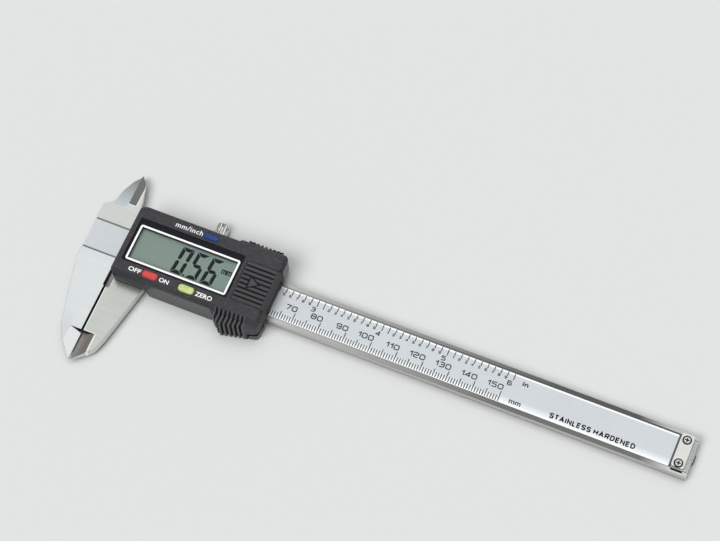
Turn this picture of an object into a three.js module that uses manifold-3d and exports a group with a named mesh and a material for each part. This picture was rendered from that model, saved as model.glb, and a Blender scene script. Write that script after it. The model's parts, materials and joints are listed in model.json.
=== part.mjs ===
// Digital caliper, 150 mm, with a plastic display housing on a steel slider.
// Millimetres, +Z up out of the display face, +X along the beam towards its tail, and +Y across the
// beam towards the small inside jaws.
// The pieces are drawn from the fixed jaw's outside measuring face (X = 0), the beam's centreline
// (Y = 0) and the beam's flat back (Z = 0). The whole group is then moved so that its origin is the
// centre of the underside of its bounding box.
import * as THREE from 'three';
import { mergeVertices } from 'three/addons/utils/BufferGeometryUtils.js';
import Module from 'manifold-3d';

const wasm = await Module();
wasm.setup();

// ---------------------------------------------------------------- driving dimensions

const OPEN = 0.56;                    // gap between the outside jaws as modelled
const RUNNING = 0.12;                 // clearance between sliding steel faces
const SEAT = 0.02;                    // gap under a piece that is seated or glued down
const FIT = 0.06;                     // radial clearance of a screw in its hole

const BEAM = { x0: -14.6, x1: 220.6, half: 8, thick: 3.5 };
const MID = BEAM.thick / 2;           // split level of the crossed inside jaws
const HALF_GAP = 0.08;                // half the gap between the crossed inside jaws
const CHANNEL = { half: 6.25, floor: 2.6 };
const GROOVE = { x0: 49, half: 1.7, top: 1.9 };

const JAW_TIP_Y = -48.2;
const RELIEF = { y: -18, depth: 0.6, nose: 0.4, bevel: 1.8 };
const TIP_BEVEL = { y: -36.6, width: 4.7, land: 0.4, lean: 1.1 };

const INSIDE = { edge: -6.4, tipY: 28.5, bevel: 3.5, bevelY: 15.8, land: 0.15 };
const SCALE_HALF = CHANNEL.half - 0.1;

const STOP = { x0: 214, x1: 218.8, y0: -5.9, y1: 7.35, thick: 0.8, screwY: [5, -4.1], shank: 0.7, head: 1.5 };
const STOP_X = (STOP.x0 + STOP.x1) / 2;

const FRAME = { x0: 2.4, x1: 59.5, half: 12.5, back: -1.3, top: 4.3 };
const LIP_Y = 6.9;                    // inner edge of the lips that hold the slider on the beam
const GIB = { x0: 5, x1: 58, y0: 8.12, y1: 8.8 };
const GIB_WALL_Y = 8.9;
const GIB_SCREW_X = [12, 50];
const LOCK = { x: 30.5, shank: 1.5, head: 2.4, headY: 16.2, topY: 21.6, tipY: 9.6 };

// The frame's lower right corner, which shows below the end of the thumb rest.
const FOOT = { x0: 56.6, x1: 60.6, y: -15.9, z0: -1, z1: 2.3, gap: 1.3 };

const ROD = { x0: 50, half: 1.5, z0: 0.2, z1: 1.7 };
const ROD_TAB = { x1: 56.8, half: 2.1, z0: -0.72 };
const BACK_PLATE = { x0: 36, x1: 59, half: 8.5, thick: 0.45 };

const COVER = { x0: 1.7, x1: 60.5, half: 14.1, top: 12, base: 3.75, skirt: -1, shoulder: 9.6 };
const WALL = 1.4;
const CEILING = 10;                   // inner face of the cover's top
// Bevels along the cover's top edges: how far each runs in from the side, and down it.
const EDGE = { lowIn: 1.2, highIn: 0.6, highDrop: 0.9, endIn: 1.3, endDrop: 1.2 };
const GRIP = { step: 41.4, wallY: 14.9, toothY: 16.25 };
const RIBS = { upper: { x0: 43.8, x1: 57.3, slots: 8 }, lower: { x0: 43.2, x1: 55.6, slots: 7 } };
const SLOT = { wide: 0.84, deep: 0.9 };
// Corners of the thumb rest, which stands out from the cover's lower side.
const THUMB = [[41.4, -14.1], [46.2, -18.4], [55.4, -16.35], [59.8, -15.2]];
const LENS = { x0: 3.9, x1: 45.7, y0: -8.75, y1: 9.05, floor: 10.8, thick: 0.7 };
const VIEW = { x0: 5.6, x1: 44, y0: -7.3, y1: 5.9 };

const BOARD = { x0: 3.6, x1: 58.9, half: 12.2, z0: 4.4, z1: 5.35 };
const LCD = { x0: 5.1, x1: 45, y0: -8.2, y1: 6.9, z0: 7.9, z1: 9.5 };

const BAY = { x0: 46.95, y0: -8.45, y1: 7.95 };
const DOOR = {
  z0: 11.05, tongue: 0.6, tongueZ: 11.4, endZ: 7.5, ribX1: 58.9, grooves: 8, deep: 0.45, wide: 0.9,
};
const ARROW = { x0: 51, x1: 54.4, half: 2.1 };
const WIPER = { half: 6.5, top: 7.2 };
const BATTERY = { x: 53.3, y: -0.25, r: 5.8, z0: 5.75, z1: 10.9 };

const fourCorners = (x0, x1, y) => [[x0, -y], [x0, y], [x1, -y], [x1, y]];
const COVER_SCREWS = fourCorners(6.4, 56.6, 10.95);
const COVER_SCREW = { shank: 0.95, head: 1.5, sink: 0.9, recess: 1.9 };
const PLATE_SCREW = { shank: 0.5, head: 1.05, sink: 0.22, recess: 1 };
const BOARD_SCREW = { shank: 0.8, head: 1.5, tipZ: 1.4, tall: 0.8, recess: 1.4 };
const GIB_SCREW_R = 1;
const CHIP = { x: 24, y: -1, r: 3.6, edge: 0.1, rise: 1.1 };
const SWITCH = { w: 3.2, d: 1.6, tall: 0.6, plunger: 0.5 };
const PLATE_SCREWS = fourCorners(38.5, 57.5, 6.8);
const BOARD_SCREWS = [[24, -10.6], [22, 10.8]];
const BOSS_R = 1.7;

const BUTTONS = [
  { name: 'unit', x: 30.9, y: 11.15, width: 5.7, depth: 2.3, colour: 0x3a4f9a },
  { name: 'power', x: 16.5, y: -11, width: 5.5, depth: 2.6, colour: 0xe2474a },
  { name: 'zero', x: 31, y: -11.05, width: 5.7, depth: 2.6, colour: 0xdfe07a },
];
const BUTTON = { top: 12.55, stemZ: 6.75, travel: 0.4 };

// ---------------------------------------------------------------- materials

const finish = (color, roughness, metalness) => ({ color, roughness, metalness });
const FINISH = {
  steel: finish(0xd3d6d2, 0.3, 1),
  foil: finish(0xd6dbde, 0.45, 0.6),
  board: finish(0x2f6b45, 0.6, 0),
  housing: finish(0x46464a, 0.55, 0),
  bezel: finish(0x18181b, 0.25, 0),
  lens: finish(0xdfe8e4, 0.05, 0),
  lcd: finish(0x8a9a8c, 0.35, 0),
  rubber: finish(0x8d8f92, 0.8, 0),
  brass: finish(0xc2a35a, 0.35, 1),
  epoxy: finish(0x111111, 0.4, 0),
  wiper: finish(0x7d828a, 0.7, 0),
};

// ---------------------------------------------------------------- solids

function toSolid(geometry) {
  const plain = geometry.clone();
  plain.deleteAttribute('normal');
  plain.deleteAttribute('uv');
  const merged = mergeVertices(plain, 1e-5);
  return new wasm.Manifold(new wasm.Mesh({
    numProp: 3,
    vertProperties: Float32Array.from(merged.attributes.position.array),
    triVerts: Uint32Array.from(merged.index.array),
  }));
}

function toGeometry(solid) {
  const { vertProperties, triVerts } = solid.getMesh();
  const geometry = new THREE.BufferGeometry();
  geometry.setAttribute('position', new THREE.BufferAttribute(vertProperties, 3));
  geometry.setIndex(new THREE.BufferAttribute(triVerts, 1));
  geometry.computeVertexNormals();
  return geometry;
}

const join = (...solids) => solids.reduce((whole, piece) => whole.add(piece));
const cut = (body, ...tools) => tools.reduce((whole, tool) => whole.subtract(tool), body);

function box(x0, x1, y0, y1, z0, z1) {
  const geometry = new THREE.BoxGeometry(x1 - x0, y1 - y0, z1 - z0);
  geometry.translate((x0 + x1) / 2, (y0 + y1) / 2, (z0 + z1) / 2);
  return toSolid(geometry);
}

// A closed outline from corners [x, y, radius]; a corner with no radius stays sharp.
function outline(corners) {
  const shape = new THREE.Shape();
  const points = corners.map(([x, y]) => new THREE.Vector2(x, y));
  corners.forEach(([, , radius = 0], i) => {
    const here = points[i];
    const before = points[(i + points.length - 1) % points.length];
    const after = points[(i + 1) % points.length];
    const back = before.clone().sub(here);
    const ahead = after.clone().sub(here);
    const half = Math.acos(back.dot(ahead) / (back.length() * ahead.length())) / 2;
    const reach = radius ? radius / Math.tan(half) : 0;
    const start = here.clone().add(back.setLength(reach));
    const end = here.clone().add(ahead.setLength(reach));
    if (i === 0) shape.moveTo(start.x, start.y);
    else shape.lineTo(start.x, start.y);
    if (radius) shape.quadraticCurveTo(here.x, here.y, end.x, end.y);
  });
  shape.closePath();
  return shape;
}

function prism(shape, z0, z1, curveSegments = 4) {
  const options = { depth: z1 - z0, bevelEnabled: false, curveSegments };
  const geometry = new THREE.ExtrudeGeometry(shape, options);
  geometry.translate(0, 0, z0);
  return toSolid(geometry);
}

// An outline of [y, z] corners carried along X from x0 to x1.
function prismX(corners, x0, x1) {
  const geometry = new THREE.ExtrudeGeometry(outline(corners), { depth: x1 - x0, bevelEnabled: false });
  const yzx = new THREE.Matrix4().makeBasis(
    new THREE.Vector3(0, 1, 0), new THREE.Vector3(0, 0, 1), new THREE.Vector3(1, 0, 0));
  geometry.applyMatrix4(yzx);
  geometry.translate(x0, 0, 0);
  return toSolid(geometry);
}

// An outline of [z, x] corners carried along Y from y0 to y1.
function prismY(corners, y0, y1) {
  const geometry = new THREE.ExtrudeGeometry(outline(corners), { depth: y1 - y0, bevelEnabled: false });
  const zxy = new THREE.Matrix4().makeBasis(
    new THREE.Vector3(0, 0, 1), new THREE.Vector3(1, 0, 0), new THREE.Vector3(0, 1, 0));
  geometry.applyMatrix4(zxy);
  geometry.translate(0, y0, 0);
  return toSolid(geometry);
}

function drumZ(x, y, z0, z1, radius, sides = 20) {
  const geometry = new THREE.CylinderGeometry(radius, radius, z1 - z0, sides);
  geometry.rotateX(Math.PI / 2);
  geometry.translate(x, y, (z0 + z1) / 2);
  return toSolid(geometry);
}

function drumY(x, z, y0, y1, radius, sides = 20) {
  const geometry = new THREE.CylinderGeometry(radius, radius, y1 - y0, sides);
  geometry.translate(x, (y0 + y1) / 2, z);
  return toSolid(geometry);
}

// A turned piece about a Z axis through (x, y), from [radius, z] profile points.
function turned(x, y, profile, sides = 20) {
  const points = profile.map(([r, z]) => new THREE.Vector2(r, z));
  const geometry = new THREE.LatheGeometry(points, sides);
  geometry.rotateX(Math.PI / 2);
  geometry.translate(x, y, 0);
  return toSolid(geometry);
}

function pill(x, y, width, depth) {
  const w = width / 2;
  const d = depth / 2;
  return outline([[x - w, y - d, d], [x + w, y - d, d], [x + w, y + d, d], [x - w, y + d, d]]);
}

const inset = ({ x0, x1, y0, y1 }, by) => ({ x0: x0 + by, x1: x1 - by, y0: y0 + by, y1: y1 - by });
const rectangle = ({ x0, x1, y0, y1 }, radius = 0) => outline([
  [x0, y0, radius], [x1, y0, radius], [x1, y1, radius], [x0, y1, radius]]);

// ---------------------------------------------------------------- the assembly

const caliper = new THREE.Group();
caliper.name = 'digital_caliper';
caliper.position.set(
  -(BEAM.x0 + BEAM.x1 + OPEN) / 2, -(JAW_TIP_Y + INSIDE.tipY) / 2, -FRAME.back);

function place(name, solid, { color, roughness, metalness }) {
  const material = new THREE.MeshStandardMaterial({ color, roughness, metalness });
  const mesh = new THREE.Mesh(toGeometry(solid), material);
  mesh.name = name;
  caliper.add(mesh);
}

// ---------------------------------------------------------------- beam and fixed jaws

// The thinned measuring tip of one outside jaw: both faces slope to a narrow land at its face.
// side is -1 for the fixed jaw, whose metal lies at X < face, and +1 for the moving jaw.
function tipBevels(face, side) {
  const { y, width, land, lean } = TIP_BEVEL;
  const over = 0.5;
  const drop = (MID - land / 2) * (1 + over / width);
  const far = face + side * width;
  const near = face - side * over;
  const slope = (surface, inward) => {
    const ridge = surface + inward * drop;
    const above = surface - inward;
    const ground = prismY([[surface, far], [ridge, near], [above, near], [above, far]], JAW_TIP_Y - 1, y);
    const shoulder = [[y, surface], [y - lean, ridge], [y + 1, ridge], [y + 1, above], [y, above]];
    return ground.subtract(prismX(shoulder, Math.min(far, near) - 1, Math.max(far, near) + 1));
  };
  return join(slope(0, 1), slope(BEAM.thick, -1));
}

// The ground bevel of one inside jaw, from the outer face zFace down to its knife edge.
// The metal lies on the side of the edge that side points to.
function knifeBevel(edge, side, zFace, zEdge) {
  const outside = zFace + Math.sign(zFace - zEdge) * 0.5;
  const corners = [
    [zFace, edge + side * INSIDE.bevel], [zEdge, edge], [zEdge, edge - side],
    [outside, edge - side], [outside, edge + side * INSIDE.bevel]];
  return prismY(corners, INSIDE.bevelY, INSIDE.tipY + 1);
}

const fixedJaw = outline([
  [BEAM.x0, BEAM.half], [BEAM.x0, -11.5, 4], [-8, -37.5, 5], [-5.3, -42.2, 5], [-0.3, JAW_TIP_Y],
  [0, JAW_TIP_Y], [0, RELIEF.y], [-RELIEF.depth, RELIEF.y + RELIEF.depth],
  [-RELIEF.depth, -BEAM.half], [4, -BEAM.half], [4, BEAM.half]]);

// The head's upper part and the fixed inside jaw are half as thick as the beam.
const headPlate = outline([
  [BEAM.x0, BEAM.half - 1], [-0.5, BEAM.half - 1], [-0.5, 14], [-1.6, 19.5, 6], [-3.5, 25.8, 4],
  [INSIDE.edge + 0.3, INSIDE.tipY], [INSIDE.edge, INSIDE.tipY], [INSIDE.edge, 15.4], [-7.1, 13.9],
  [-12.3, 14.1, 1], [BEAM.x0, 12.4, 1]]);

function makeBeam() {
  const bar = box(0, BEAM.x1, -BEAM.half, BEAM.half, 0, BEAM.thick);
  const jaw = prism(fixedJaw, 0, BEAM.thick);
  const head = prism(headPlate, MID + HALF_GAP, BEAM.thick);
  const channel = box(BEAM.x0 - 1, BEAM.x1 + 1, -CHANNEL.half, CHANNEL.half, CHANNEL.floor, 5);
  const groove = box(GROOVE.x0, BEAM.x1 + 1, -GROOVE.half, GROOVE.half, -1, GROOVE.top);
  const screwHoles = STOP.screwY.map((y) => drumZ(STOP_X, y, 0.8, 5, STOP.shank + FIT, 12));
  const notch = box(STOP.x0 + 0.4, STOP.x1 - 0.2, -7, -CHANNEL.half + 1, CHANNEL.floor, 5);
  const knife = knifeBevel(INSIDE.edge, 1, BEAM.thick, MID + HALF_GAP + INSIDE.land);
  return cut(join(bar, jaw, head), tipBevels(0, -1), knife, channel, groove, notch, ...screwHoles);
}

place('beam', makeBeam(), FINISH.steel);

// ---------------------------------------------------------------- measuring scale and end stop

function makeScaleStrip(z0, z1) {
  const strip = box(BEAM.x0 + 0.1, BEAM.x1 - 0.1, -SCALE_HALF, SCALE_HALF, z0, z1);
  const screwHoles = STOP.screwY.map((y) => drumZ(STOP_X, y, 0, 5, STOP.shank + FIT, 12));
  return cut(strip, ...screwHoles);
}

place('scale_board', makeScaleStrip(CHANNEL.floor + SEAT, CHANNEL.floor + 0.7), FINISH.board);
place('scale_foil', makeScaleStrip(CHANNEL.floor + 0.7 + SEAT, BEAM.thick - 0.05), FINISH.foil);

function makeStopPlate() {
  const z0 = BEAM.thick + SEAT;
  const plate = prism(rectangle(STOP, 1), z0, z0 + STOP.thick);
  const holes = STOP.screwY.flatMap((y) => [
    drumZ(STOP_X, y, 0, 9, STOP.shank + FIT, 12),
    drumZ(STOP_X, y, z0 + STOP.thick / 2, 9, STOP.head + 0.15, 20)]);
  return cut(plate, ...holes);
}

// A pan-head or countersunk screw is turned from its profile, tip first, and gets a cross recess.
// up is +1 when the head points to +Z and -1 when it points to -Z.
function screw(x, y, profile, headZ, up, recess) {
  const body = turned(x, y, up > 0 ? profile : [...profile].reverse(), 16);
  const depth = recess * 0.55;
  const [z0, z1] = up > 0 ? [headZ - depth, headZ + 1] : [headZ - 1, headZ + depth];
  const arm = recess / 2;
  const slot = recess * 0.14;
  return cut(body,
    box(x - arm, x + arm, y - slot, y + slot, z0, z1),
    box(x - slot, x + slot, y - arm, y + arm, z0, z1));
}

place('stop_plate', makeStopPlate(), FINISH.steel);
STOP.screwY.forEach((y, i) => {
  const seat = BEAM.thick + 1.5 * SEAT + STOP.thick / 2;
  const head = seat + 0.6;
  const profile = [[0, 1], [STOP.shank, 1], [STOP.shank, seat], [STOP.head, seat],
    [STOP.head, head - 0.25], [STOP.head - 0.4, head], [0, head]];
  place(`stop_screw_${i + 1}`, screw(STOP_X, y, profile, head, 1, 1.7), FINISH.steel);
});

// ---------------------------------------------------------------- slider frame and moving jaws

const MOVING_FACE = OPEN;
const MOVING_NOSE = OPEN - RELIEF.nose;
const movingJaw = outline([
  [MOVING_FACE, JAW_TIP_Y], [MOVING_FACE + 0.3, JAW_TIP_Y], [7.4, -42.3, 5], [9, -37, 5],
  [13.8, -FRAME.half - 1], [13.8, -FRAME.half + 1], [12, -BEAM.half - RUNNING],
  [MOVING_NOSE, -BEAM.half - RUNNING], [MOVING_NOSE, RELIEF.y + RELIEF.depth], [MOVING_FACE, RELIEF.y]]);

const MOVING_EDGE = INSIDE.edge + OPEN;
const movingArm = outline([
  [-12.1, BEAM.half + 0.2], [FRAME.x0 + 2, BEAM.half + 0.2], [FRAME.x0 + 2, FRAME.half - 0.1],
  [2.9, FRAME.half - 0.1], [1.6, 13.6], [MOVING_EDGE, 15.6], [MOVING_EDGE, INSIDE.tipY],
  [MOVING_EDGE - 0.3, INSIDE.tipY], [-8.6, 25.4, 4], [-10.7, 20.6, 6], [-12.1, 14.2]]);

const footOutline = outline([
  [FOOT.x0, -BEAM.half - 2], [FOOT.x0, FOOT.y, 0.6], [FOOT.x1 - 0.5, FOOT.y + 1, 1.5],
  [FOOT.x1, -BEAM.half - 2]]);

function makeSliderFrame() {
  const { x0, x1, half, back, top } = FRAME;
  const railLow = box(x0, x1, -half, -BEAM.half - RUNNING, back, top);
  const railHigh = box(x0, x1, GIB_WALL_Y, half, back, top);
  const backWall = box(x0, x1, -half, half, back, -RUNNING);
  const lipLow = box(x0, x1, -half, -LIP_Y, BEAM.thick + RUNNING, top);
  const lipHigh = box(x0, x1, LIP_Y, half, BEAM.thick + RUNNING, top);
  const jaw = prism(movingJaw, 0, BEAM.thick);
  const arm = prism(movingArm, 0, MID - HALF_GAP);
  const corner = prism(footOutline, FOOT.z0, FOOT.z1);

  const reliefBevel = prismY(
    [[BEAM.thick - 0.8, MOVING_NOSE - 0.1], [BEAM.thick, MOVING_NOSE + RELIEF.bevel],
      [top, MOVING_NOSE + RELIEF.bevel], [top, MOVING_NOSE - 0.1]], RELIEF.y, -FRAME.half + 1);
  const knife = knifeBevel(MOVING_EDGE, -1, 0, MID - HALF_GAP - INSIDE.land);
  const topLeft = box(x0 - 1, COVER.x0 + WALL + 0.1, -half - 1, half + 1, BEAM.thick + 0.1, top + 1);
  const topRight = box(COVER.x1 - WALL - 0.1, x1 + 1, -half - 1, half + 1, BEAM.thick + 0.1, top + 1);
  const plateSeat = box(BACK_PLATE.x0 - 0.1, BACK_PLATE.x1 + 0.1, -BACK_PLATE.half - 0.1,
    BACK_PLATE.half + 0.1, back - 1, back + BACK_PLATE.thick + 2 * SEAT);
  const rodWindow = box(ROD.x0 - 0.1, ROD_TAB.x1 + 0.1, -ROD_TAB.half - 0.1, ROD_TAB.half + 0.1, back, 0);
  const lockHole = drumY(LOCK.x, MID, GIB_WALL_Y - 1, half + 1, LOCK.shank + FIT, 24);
  const gibHoles = GIB_SCREW_X.map((x) => drumY(x, MID, GIB_WALL_Y - 1, half + 1, GIB_SCREW_R + FIT, 16));
  const coverHoles = COVER_SCREWS.flatMap(([x, y]) => [
    drumZ(x, y, back - 1, top + 1, COVER_SCREW.shank + FIT, 12),
    turned(x, y, [[0, back - 0.1], [COVER_SCREW.head + 0.16, back - 0.1],
      [COVER_SCREW.shank + FIT, back + COVER_SCREW.sink + 0.05], [0, back + COVER_SCREW.sink + 0.05]], 16)]);
  const boardHoles = BOARD_SCREWS.map(([x, y]) => drumZ(x, y, 1, top + 1, BOARD_SCREW.shank + FIT, 12));
  const plateHoles = PLATE_SCREWS.map(([x, y]) => drumZ(x, y, back, -0.2, PLATE_SCREW.shank + FIT, 10));

  const solid = join(railLow, railHigh, backWall, lipLow, lipHigh, jaw, arm, corner);
  const openings = [topLeft, topRight, plateSeat, rodWindow, lockHole];
  return cut(solid, tipBevels(MOVING_FACE, 1), reliefBevel, knife, ...openings, ...gibHoles,
    ...coverHoles, ...boardHoles, ...plateHoles);
}

place('slider_frame', makeSliderFrame(), FINISH.steel);

// ---------------------------------------------------------------- gib and lock

place('gib_strip', box(GIB.x0, GIB.x1, GIB.y0, GIB.y1, 0.4, 3.1), FINISH.brass);
GIB_SCREW_X.forEach((x, i) => {
  const tip = GIB.y1 + 0.1;
  const body = drumY(x, MID, tip, FRAME.half - 0.3, GIB_SCREW_R, 16);
  const slot = box(x - GIB_SCREW_R, x + GIB_SCREW_R, FRAME.half - 0.8, FRAME.half, MID - 0.15, MID + 0.15);
  place(`gib_screw_${i + 1}`, cut(body, slot), FINISH.steel);
});

place('lock_pad', drumY(LOCK.x, MID, GIB.y1 + 0.15, LOCK.tipY - 0.05, LOCK.shank - 0.1, 16), FINISH.brass);

function makeLockScrew() {
  const teeth = 18;
  const knurl = new THREE.Shape();
  for (let i = 0; i < 2 * teeth; i += 1) {
    const angle = (i * Math.PI) / teeth;
    const radius = i % 2 ? LOCK.head : LOCK.head - 0.3;
    const x = radius * Math.cos(angle);
    const z = radius * Math.sin(angle);
    if (i === 0) knurl.moveTo(x, z);
    else knurl.lineTo(x, z);
  }
  const options = { depth: LOCK.topY - LOCK.headY, bevelEnabled: false };
  const ribbed = new THREE.ExtrudeGeometry(knurl, options);
  ribbed.rotateX(-Math.PI / 2);
  ribbed.translate(LOCK.x, LOCK.headY, MID);
  const edge = 0.5;
  const blank = new THREE.LatheGeometry([
    new THREE.Vector2(0, LOCK.headY - 0.1), new THREE.Vector2(LOCK.head - edge, LOCK.headY - 0.1),
    new THREE.Vector2(LOCK.head + 0.1, LOCK.headY + edge),
    new THREE.Vector2(LOCK.head + 0.1, LOCK.topY - edge),
    new THREE.Vector2(LOCK.head - edge, LOCK.topY), new THREE.Vector2(0, LOCK.topY)], 24);
  blank.translate(LOCK.x, 0, MID);
  const shank = drumY(LOCK.x, MID, LOCK.tipY, LOCK.headY + 1, LOCK.shank, 20);
  return join(toSolid(ribbed).intersect(toSolid(blank)), shank);
}

place('lock_screw', makeLockScrew(), FINISH.steel);

// ---------------------------------------------------------------- depth rod and back plate

function makeDepthRod() {
  const blade = box(ROD.x0, BEAM.x1 + OPEN, -ROD.half, ROD.half, ROD.z0, ROD.z1);
  const neck = box(ROD.x0, ROD_TAB.x1, -ROD.half, ROD.half, ROD_TAB.z0, ROD.z1);
  const tab = box(ROD.x0, ROD_TAB.x1, -ROD_TAB.half, ROD_TAB.half, ROD_TAB.z0, -RUNNING);
  return join(blade, neck, tab);
}

place('depth_rod', makeDepthRod(), FINISH.steel);

function makeBackPlate() {
  const { x0, x1, half, thick } = BACK_PLATE;
  const z0 = FRAME.back;
  const plate = prism(rectangle({ x0, x1, y0: -half, y1: half }, 0.8), z0, z0 + thick, 2);
  const holes = PLATE_SCREWS.flatMap(([x, y]) => [
    drumZ(x, y, z0 - 1, 2, PLATE_SCREW.shank + FIT, 10),
    drumZ(x, y, z0 - 1, z0 + PLATE_SCREW.sink + 0.03, PLATE_SCREW.head + 0.1, 16)]);
  return cut(plate, ...holes);
}

place('back_plate', makeBackPlate(), FINISH.steel);
PLATE_SCREWS.forEach(([x, y], i) => {
  const { shank, head, sink, recess } = PLATE_SCREW;
  const z0 = FRAME.back;
  const tip = -0.25;
  const profile = [[0, tip], [shank, tip], [shank, z0 + sink], [head, z0 + sink], [head, z0], [0, z0]];
  place(`plate_screw_${i + 1}`, screw(x, y, profile, z0, -1, recess), FINISH.steel);
});

// ---------------------------------------------------------------- front cover

const coverOutline = outline([
  [COVER.x0, -13.3], [COVER.x0 + 0.8, -COVER.half], THUMB[0], [...THUMB[1], 1], ...THUMB.slice(2, -1),
  [...THUMB.at(-1), 1.5], [COVER.x1, -13, 1.5], [COVER.x1, GRIP.wallY, 2.6],
  [RIBS.upper.x1 + 0.3, GRIP.wallY], [RIBS.upper.x1, GRIP.toothY], [RIBS.upper.x0, GRIP.toothY],
  [RIBS.upper.x0, GRIP.wallY], [GRIP.step + 1, GRIP.wallY], [GRIP.step, COVER.half],
  [COVER.x0 + 2.5, COVER.half], [COVER.x0, COVER.half - 1.7]]);

// The thumb rest's edge at a given x, from its corners.
function thumbY(x) {
  const i = THUMB.findIndex(([cornerX]) => cornerX > x);
  const [ax, ay] = THUMB[i - 1];
  const [bx, by] = THUMB[i];
  return ay + ((by - ay) * (x - ax)) / (bx - ax);
}

// Ribs are what is left between upright slots in the finger grip and in the thumb rest.
function slotPlaces({ x0, x1, slots }) {
  const rib = (x1 - x0 - slots * SLOT.wide) / (slots + 1);
  return Array.from({ length: slots }, (_, i) => x0 + rib + i * (rib + SLOT.wide));
}

function gripSlots() {
  const bottom = COVER.skirt - 1;
  const upper = slotPlaces(RIBS.upper).map((x) =>
    box(x, x + SLOT.wide, GRIP.wallY + 0.05, GRIP.toothY + 1, bottom, COVER.top));
  const lower = slotPlaces(RIBS.lower).flatMap((x) => {
    const edge = thumbY(x + SLOT.wide / 2);
    return [
      box(x, x + SLOT.wide, edge - 1, edge + SLOT.deep, bottom, COVER.top),
      box(x, x + SLOT.wide, edge - 1, -COVER.half - 0.2, COVER.shoulder - 0.5, COVER.top)];
  });
  return [...upper, ...lower];
}

function makeFrontCover() {
  const { x0, x1, half, top, base, skirt, shoulder } = COVER;
  const shell = prism(coverOutline, skirt, top);

  // Bevels along the two long top edges, and a flat cut over each finger grip.
  const { lowIn, highIn, highDrop, endIn, endDrop } = EDGE;
  const lowEdge = prismX([[-half, shoulder], [-half + lowIn, top], [-half + lowIn, top + 1],
    [-half - 6, top + 1], [-half - 6, shoulder]], x0 - 1, x1 + 1);
  const highEdge = prismX([[half, top - highDrop], [half - highIn, top], [half - highIn, top + 1],
    [half + 4, top + 1], [half + 4, top - highDrop]], x0 - 1, GRIP.step);
  const gripEdge = prismX([[GRIP.wallY, shoulder], [GRIP.wallY, top - highDrop], [GRIP.wallY - highIn, top],
    [GRIP.wallY - highIn, top + 1], [half + 5, top + 1], [half + 5, shoulder]], GRIP.step - 1, x1 + 1);
  const rightEdge = prismY([[top - endDrop, x1], [top, x1 - endIn], [top + 1, x1 - endIn],
    [top + 1, x1 + 1], [top - endDrop, x1 + 1]], -half - 1, half + 3);
  const leftEdge = prismY([[top - 0.5, x0], [top, x0 + 0.4], [top + 1, x0 + 0.4], [top + 1, x0 - 1],
    [top - 0.5, x0 - 1]], -half - 1, half + 1);

  // The inside is one cavity over the frame, with pockets behind the finger grips.
  const cavity = box(x0 + WALL, x1 - WALL, -half + WALL, half - WALL, skirt - 1, CEILING);
  const lowPocket = prism(outline([[44.4, -half + 2], [46.6, -16.2], [54.8, -14.4], [55.2, -half + 2]]),
    skirt - 1, shoulder - WALL);

  // Clearances below: the head and jaws at the left, the beam right through, the frame at the right.
  const jawRoom = prismX([[-half - 9, skirt - 1], [-half - 9, base], [FRAME.half + 0.2, base],
    [FRAME.half + 0.2, skirt - 1]], x0 - 1, x0 + WALL + 0.1);
  const lowJawRoom = prismY([[skirt - 1, 16.2], [base, 14.5], [base, x0 - 1], [skirt - 1, x0 - 1]],
    -half - 1, -half + WALL + 0.1);
  const armRoom = box(x0 - 1, x0 + 1.6, half - WALL - 0.6, half + 1, skirt - 1, base);
  const endRoom = box(x1 - WALL - 0.1, x1 + 1, -half + 0.8, half + 3, skirt - 1, base);
  const footRoom = box(FOOT.x0 - 0.2, x1 + 1, -half - 5, -half + WALL + 0.1, skirt - 1, FOOT.z1 + FOOT.gap);
  const lockRoom = box(LOCK.x - 2.9, LOCK.x + 2.9, half - WALL - 0.5, half + 1, skirt - 1, MID + 2.9);

  // Openings of the face: display window, buttons and battery bay.
  const windowSeat = prism(rectangle(LENS, 0.5), LENS.floor, top + 1, 2);
  const windowHole = prism(rectangle(VIEW, 0.4), CEILING - 1, top + 1, 2);
  const buttonHoles = BUTTONS.map(({ x, y, width, depth }) =>
    prism(pill(x, y, width + 0.24, depth + 0.24), CEILING - 1, top + 1));
  const bay = box(BAY.x0, x1 + 1, BAY.y0, BAY.y1, CEILING - 1, top + 1);
  const doorGrooves = box(BAY.x0, x1 + 1, BAY.y0 - DOOR.tongue - 0.15, BAY.y1 + DOOR.tongue + 0.15,
    DOOR.z0 - 0.1, DOOR.tongueZ + 0.12);
  const doorEnd = box(x1 - WALL - 1, x1 + 1, BAY.y0, BAY.y1, DOOR.endZ - 0.1, top + 1);
  const wiperHole = box(x1 - WALL - 1, x1 + 1, -WIPER.half - 0.1, WIPER.half + 0.1, base - 1, DOOR.endZ);

  const hollowed = cut(shell, lowEdge, highEdge, gripEdge, rightEdge, leftEdge, cavity, lowPocket);
  const opened = cut(hollowed, jawRoom, lowJawRoom, armRoom, endRoom, footRoom, lockRoom);
  const faced = cut(opened, windowSeat, windowHole, ...buttonHoles, bay, doorGrooves, doorEnd, wiperHole);
  const divider = box(BAY.x0 - 0.75, BAY.x0, -9.4, 8.6, 7, CEILING + 0.1);
  const bosses = COVER_SCREWS.map(([x, y]) => drumZ(x, y, FRAME.top + 0.1, CEILING + 0.1, BOSS_R, 16));
  const pilots = COVER_SCREWS.map(([x, y]) => drumZ(x, y, 0, CEILING - 1, COVER_SCREW.shank + FIT, 12));
  return cut(join(faced, divider, ...bosses), ...pilots, ...gripSlots());
}

place('front_cover', makeFrontCover(), FINISH.housing);
COVER_SCREWS.forEach(([x, y], i) => {
  const { shank, head, sink, recess } = COVER_SCREW;
  const z0 = FRAME.back + SEAT;
  const tip = CEILING - 1.6;
  const profile = [[0, tip], [shank, tip - 0.8], [shank, z0 + sink + 0.05], [head, z0], [0, z0]];
  place(`cover_screw_${i + 1}`, screw(x, y, profile, z0, -1, recess), FINISH.steel);
});

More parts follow.
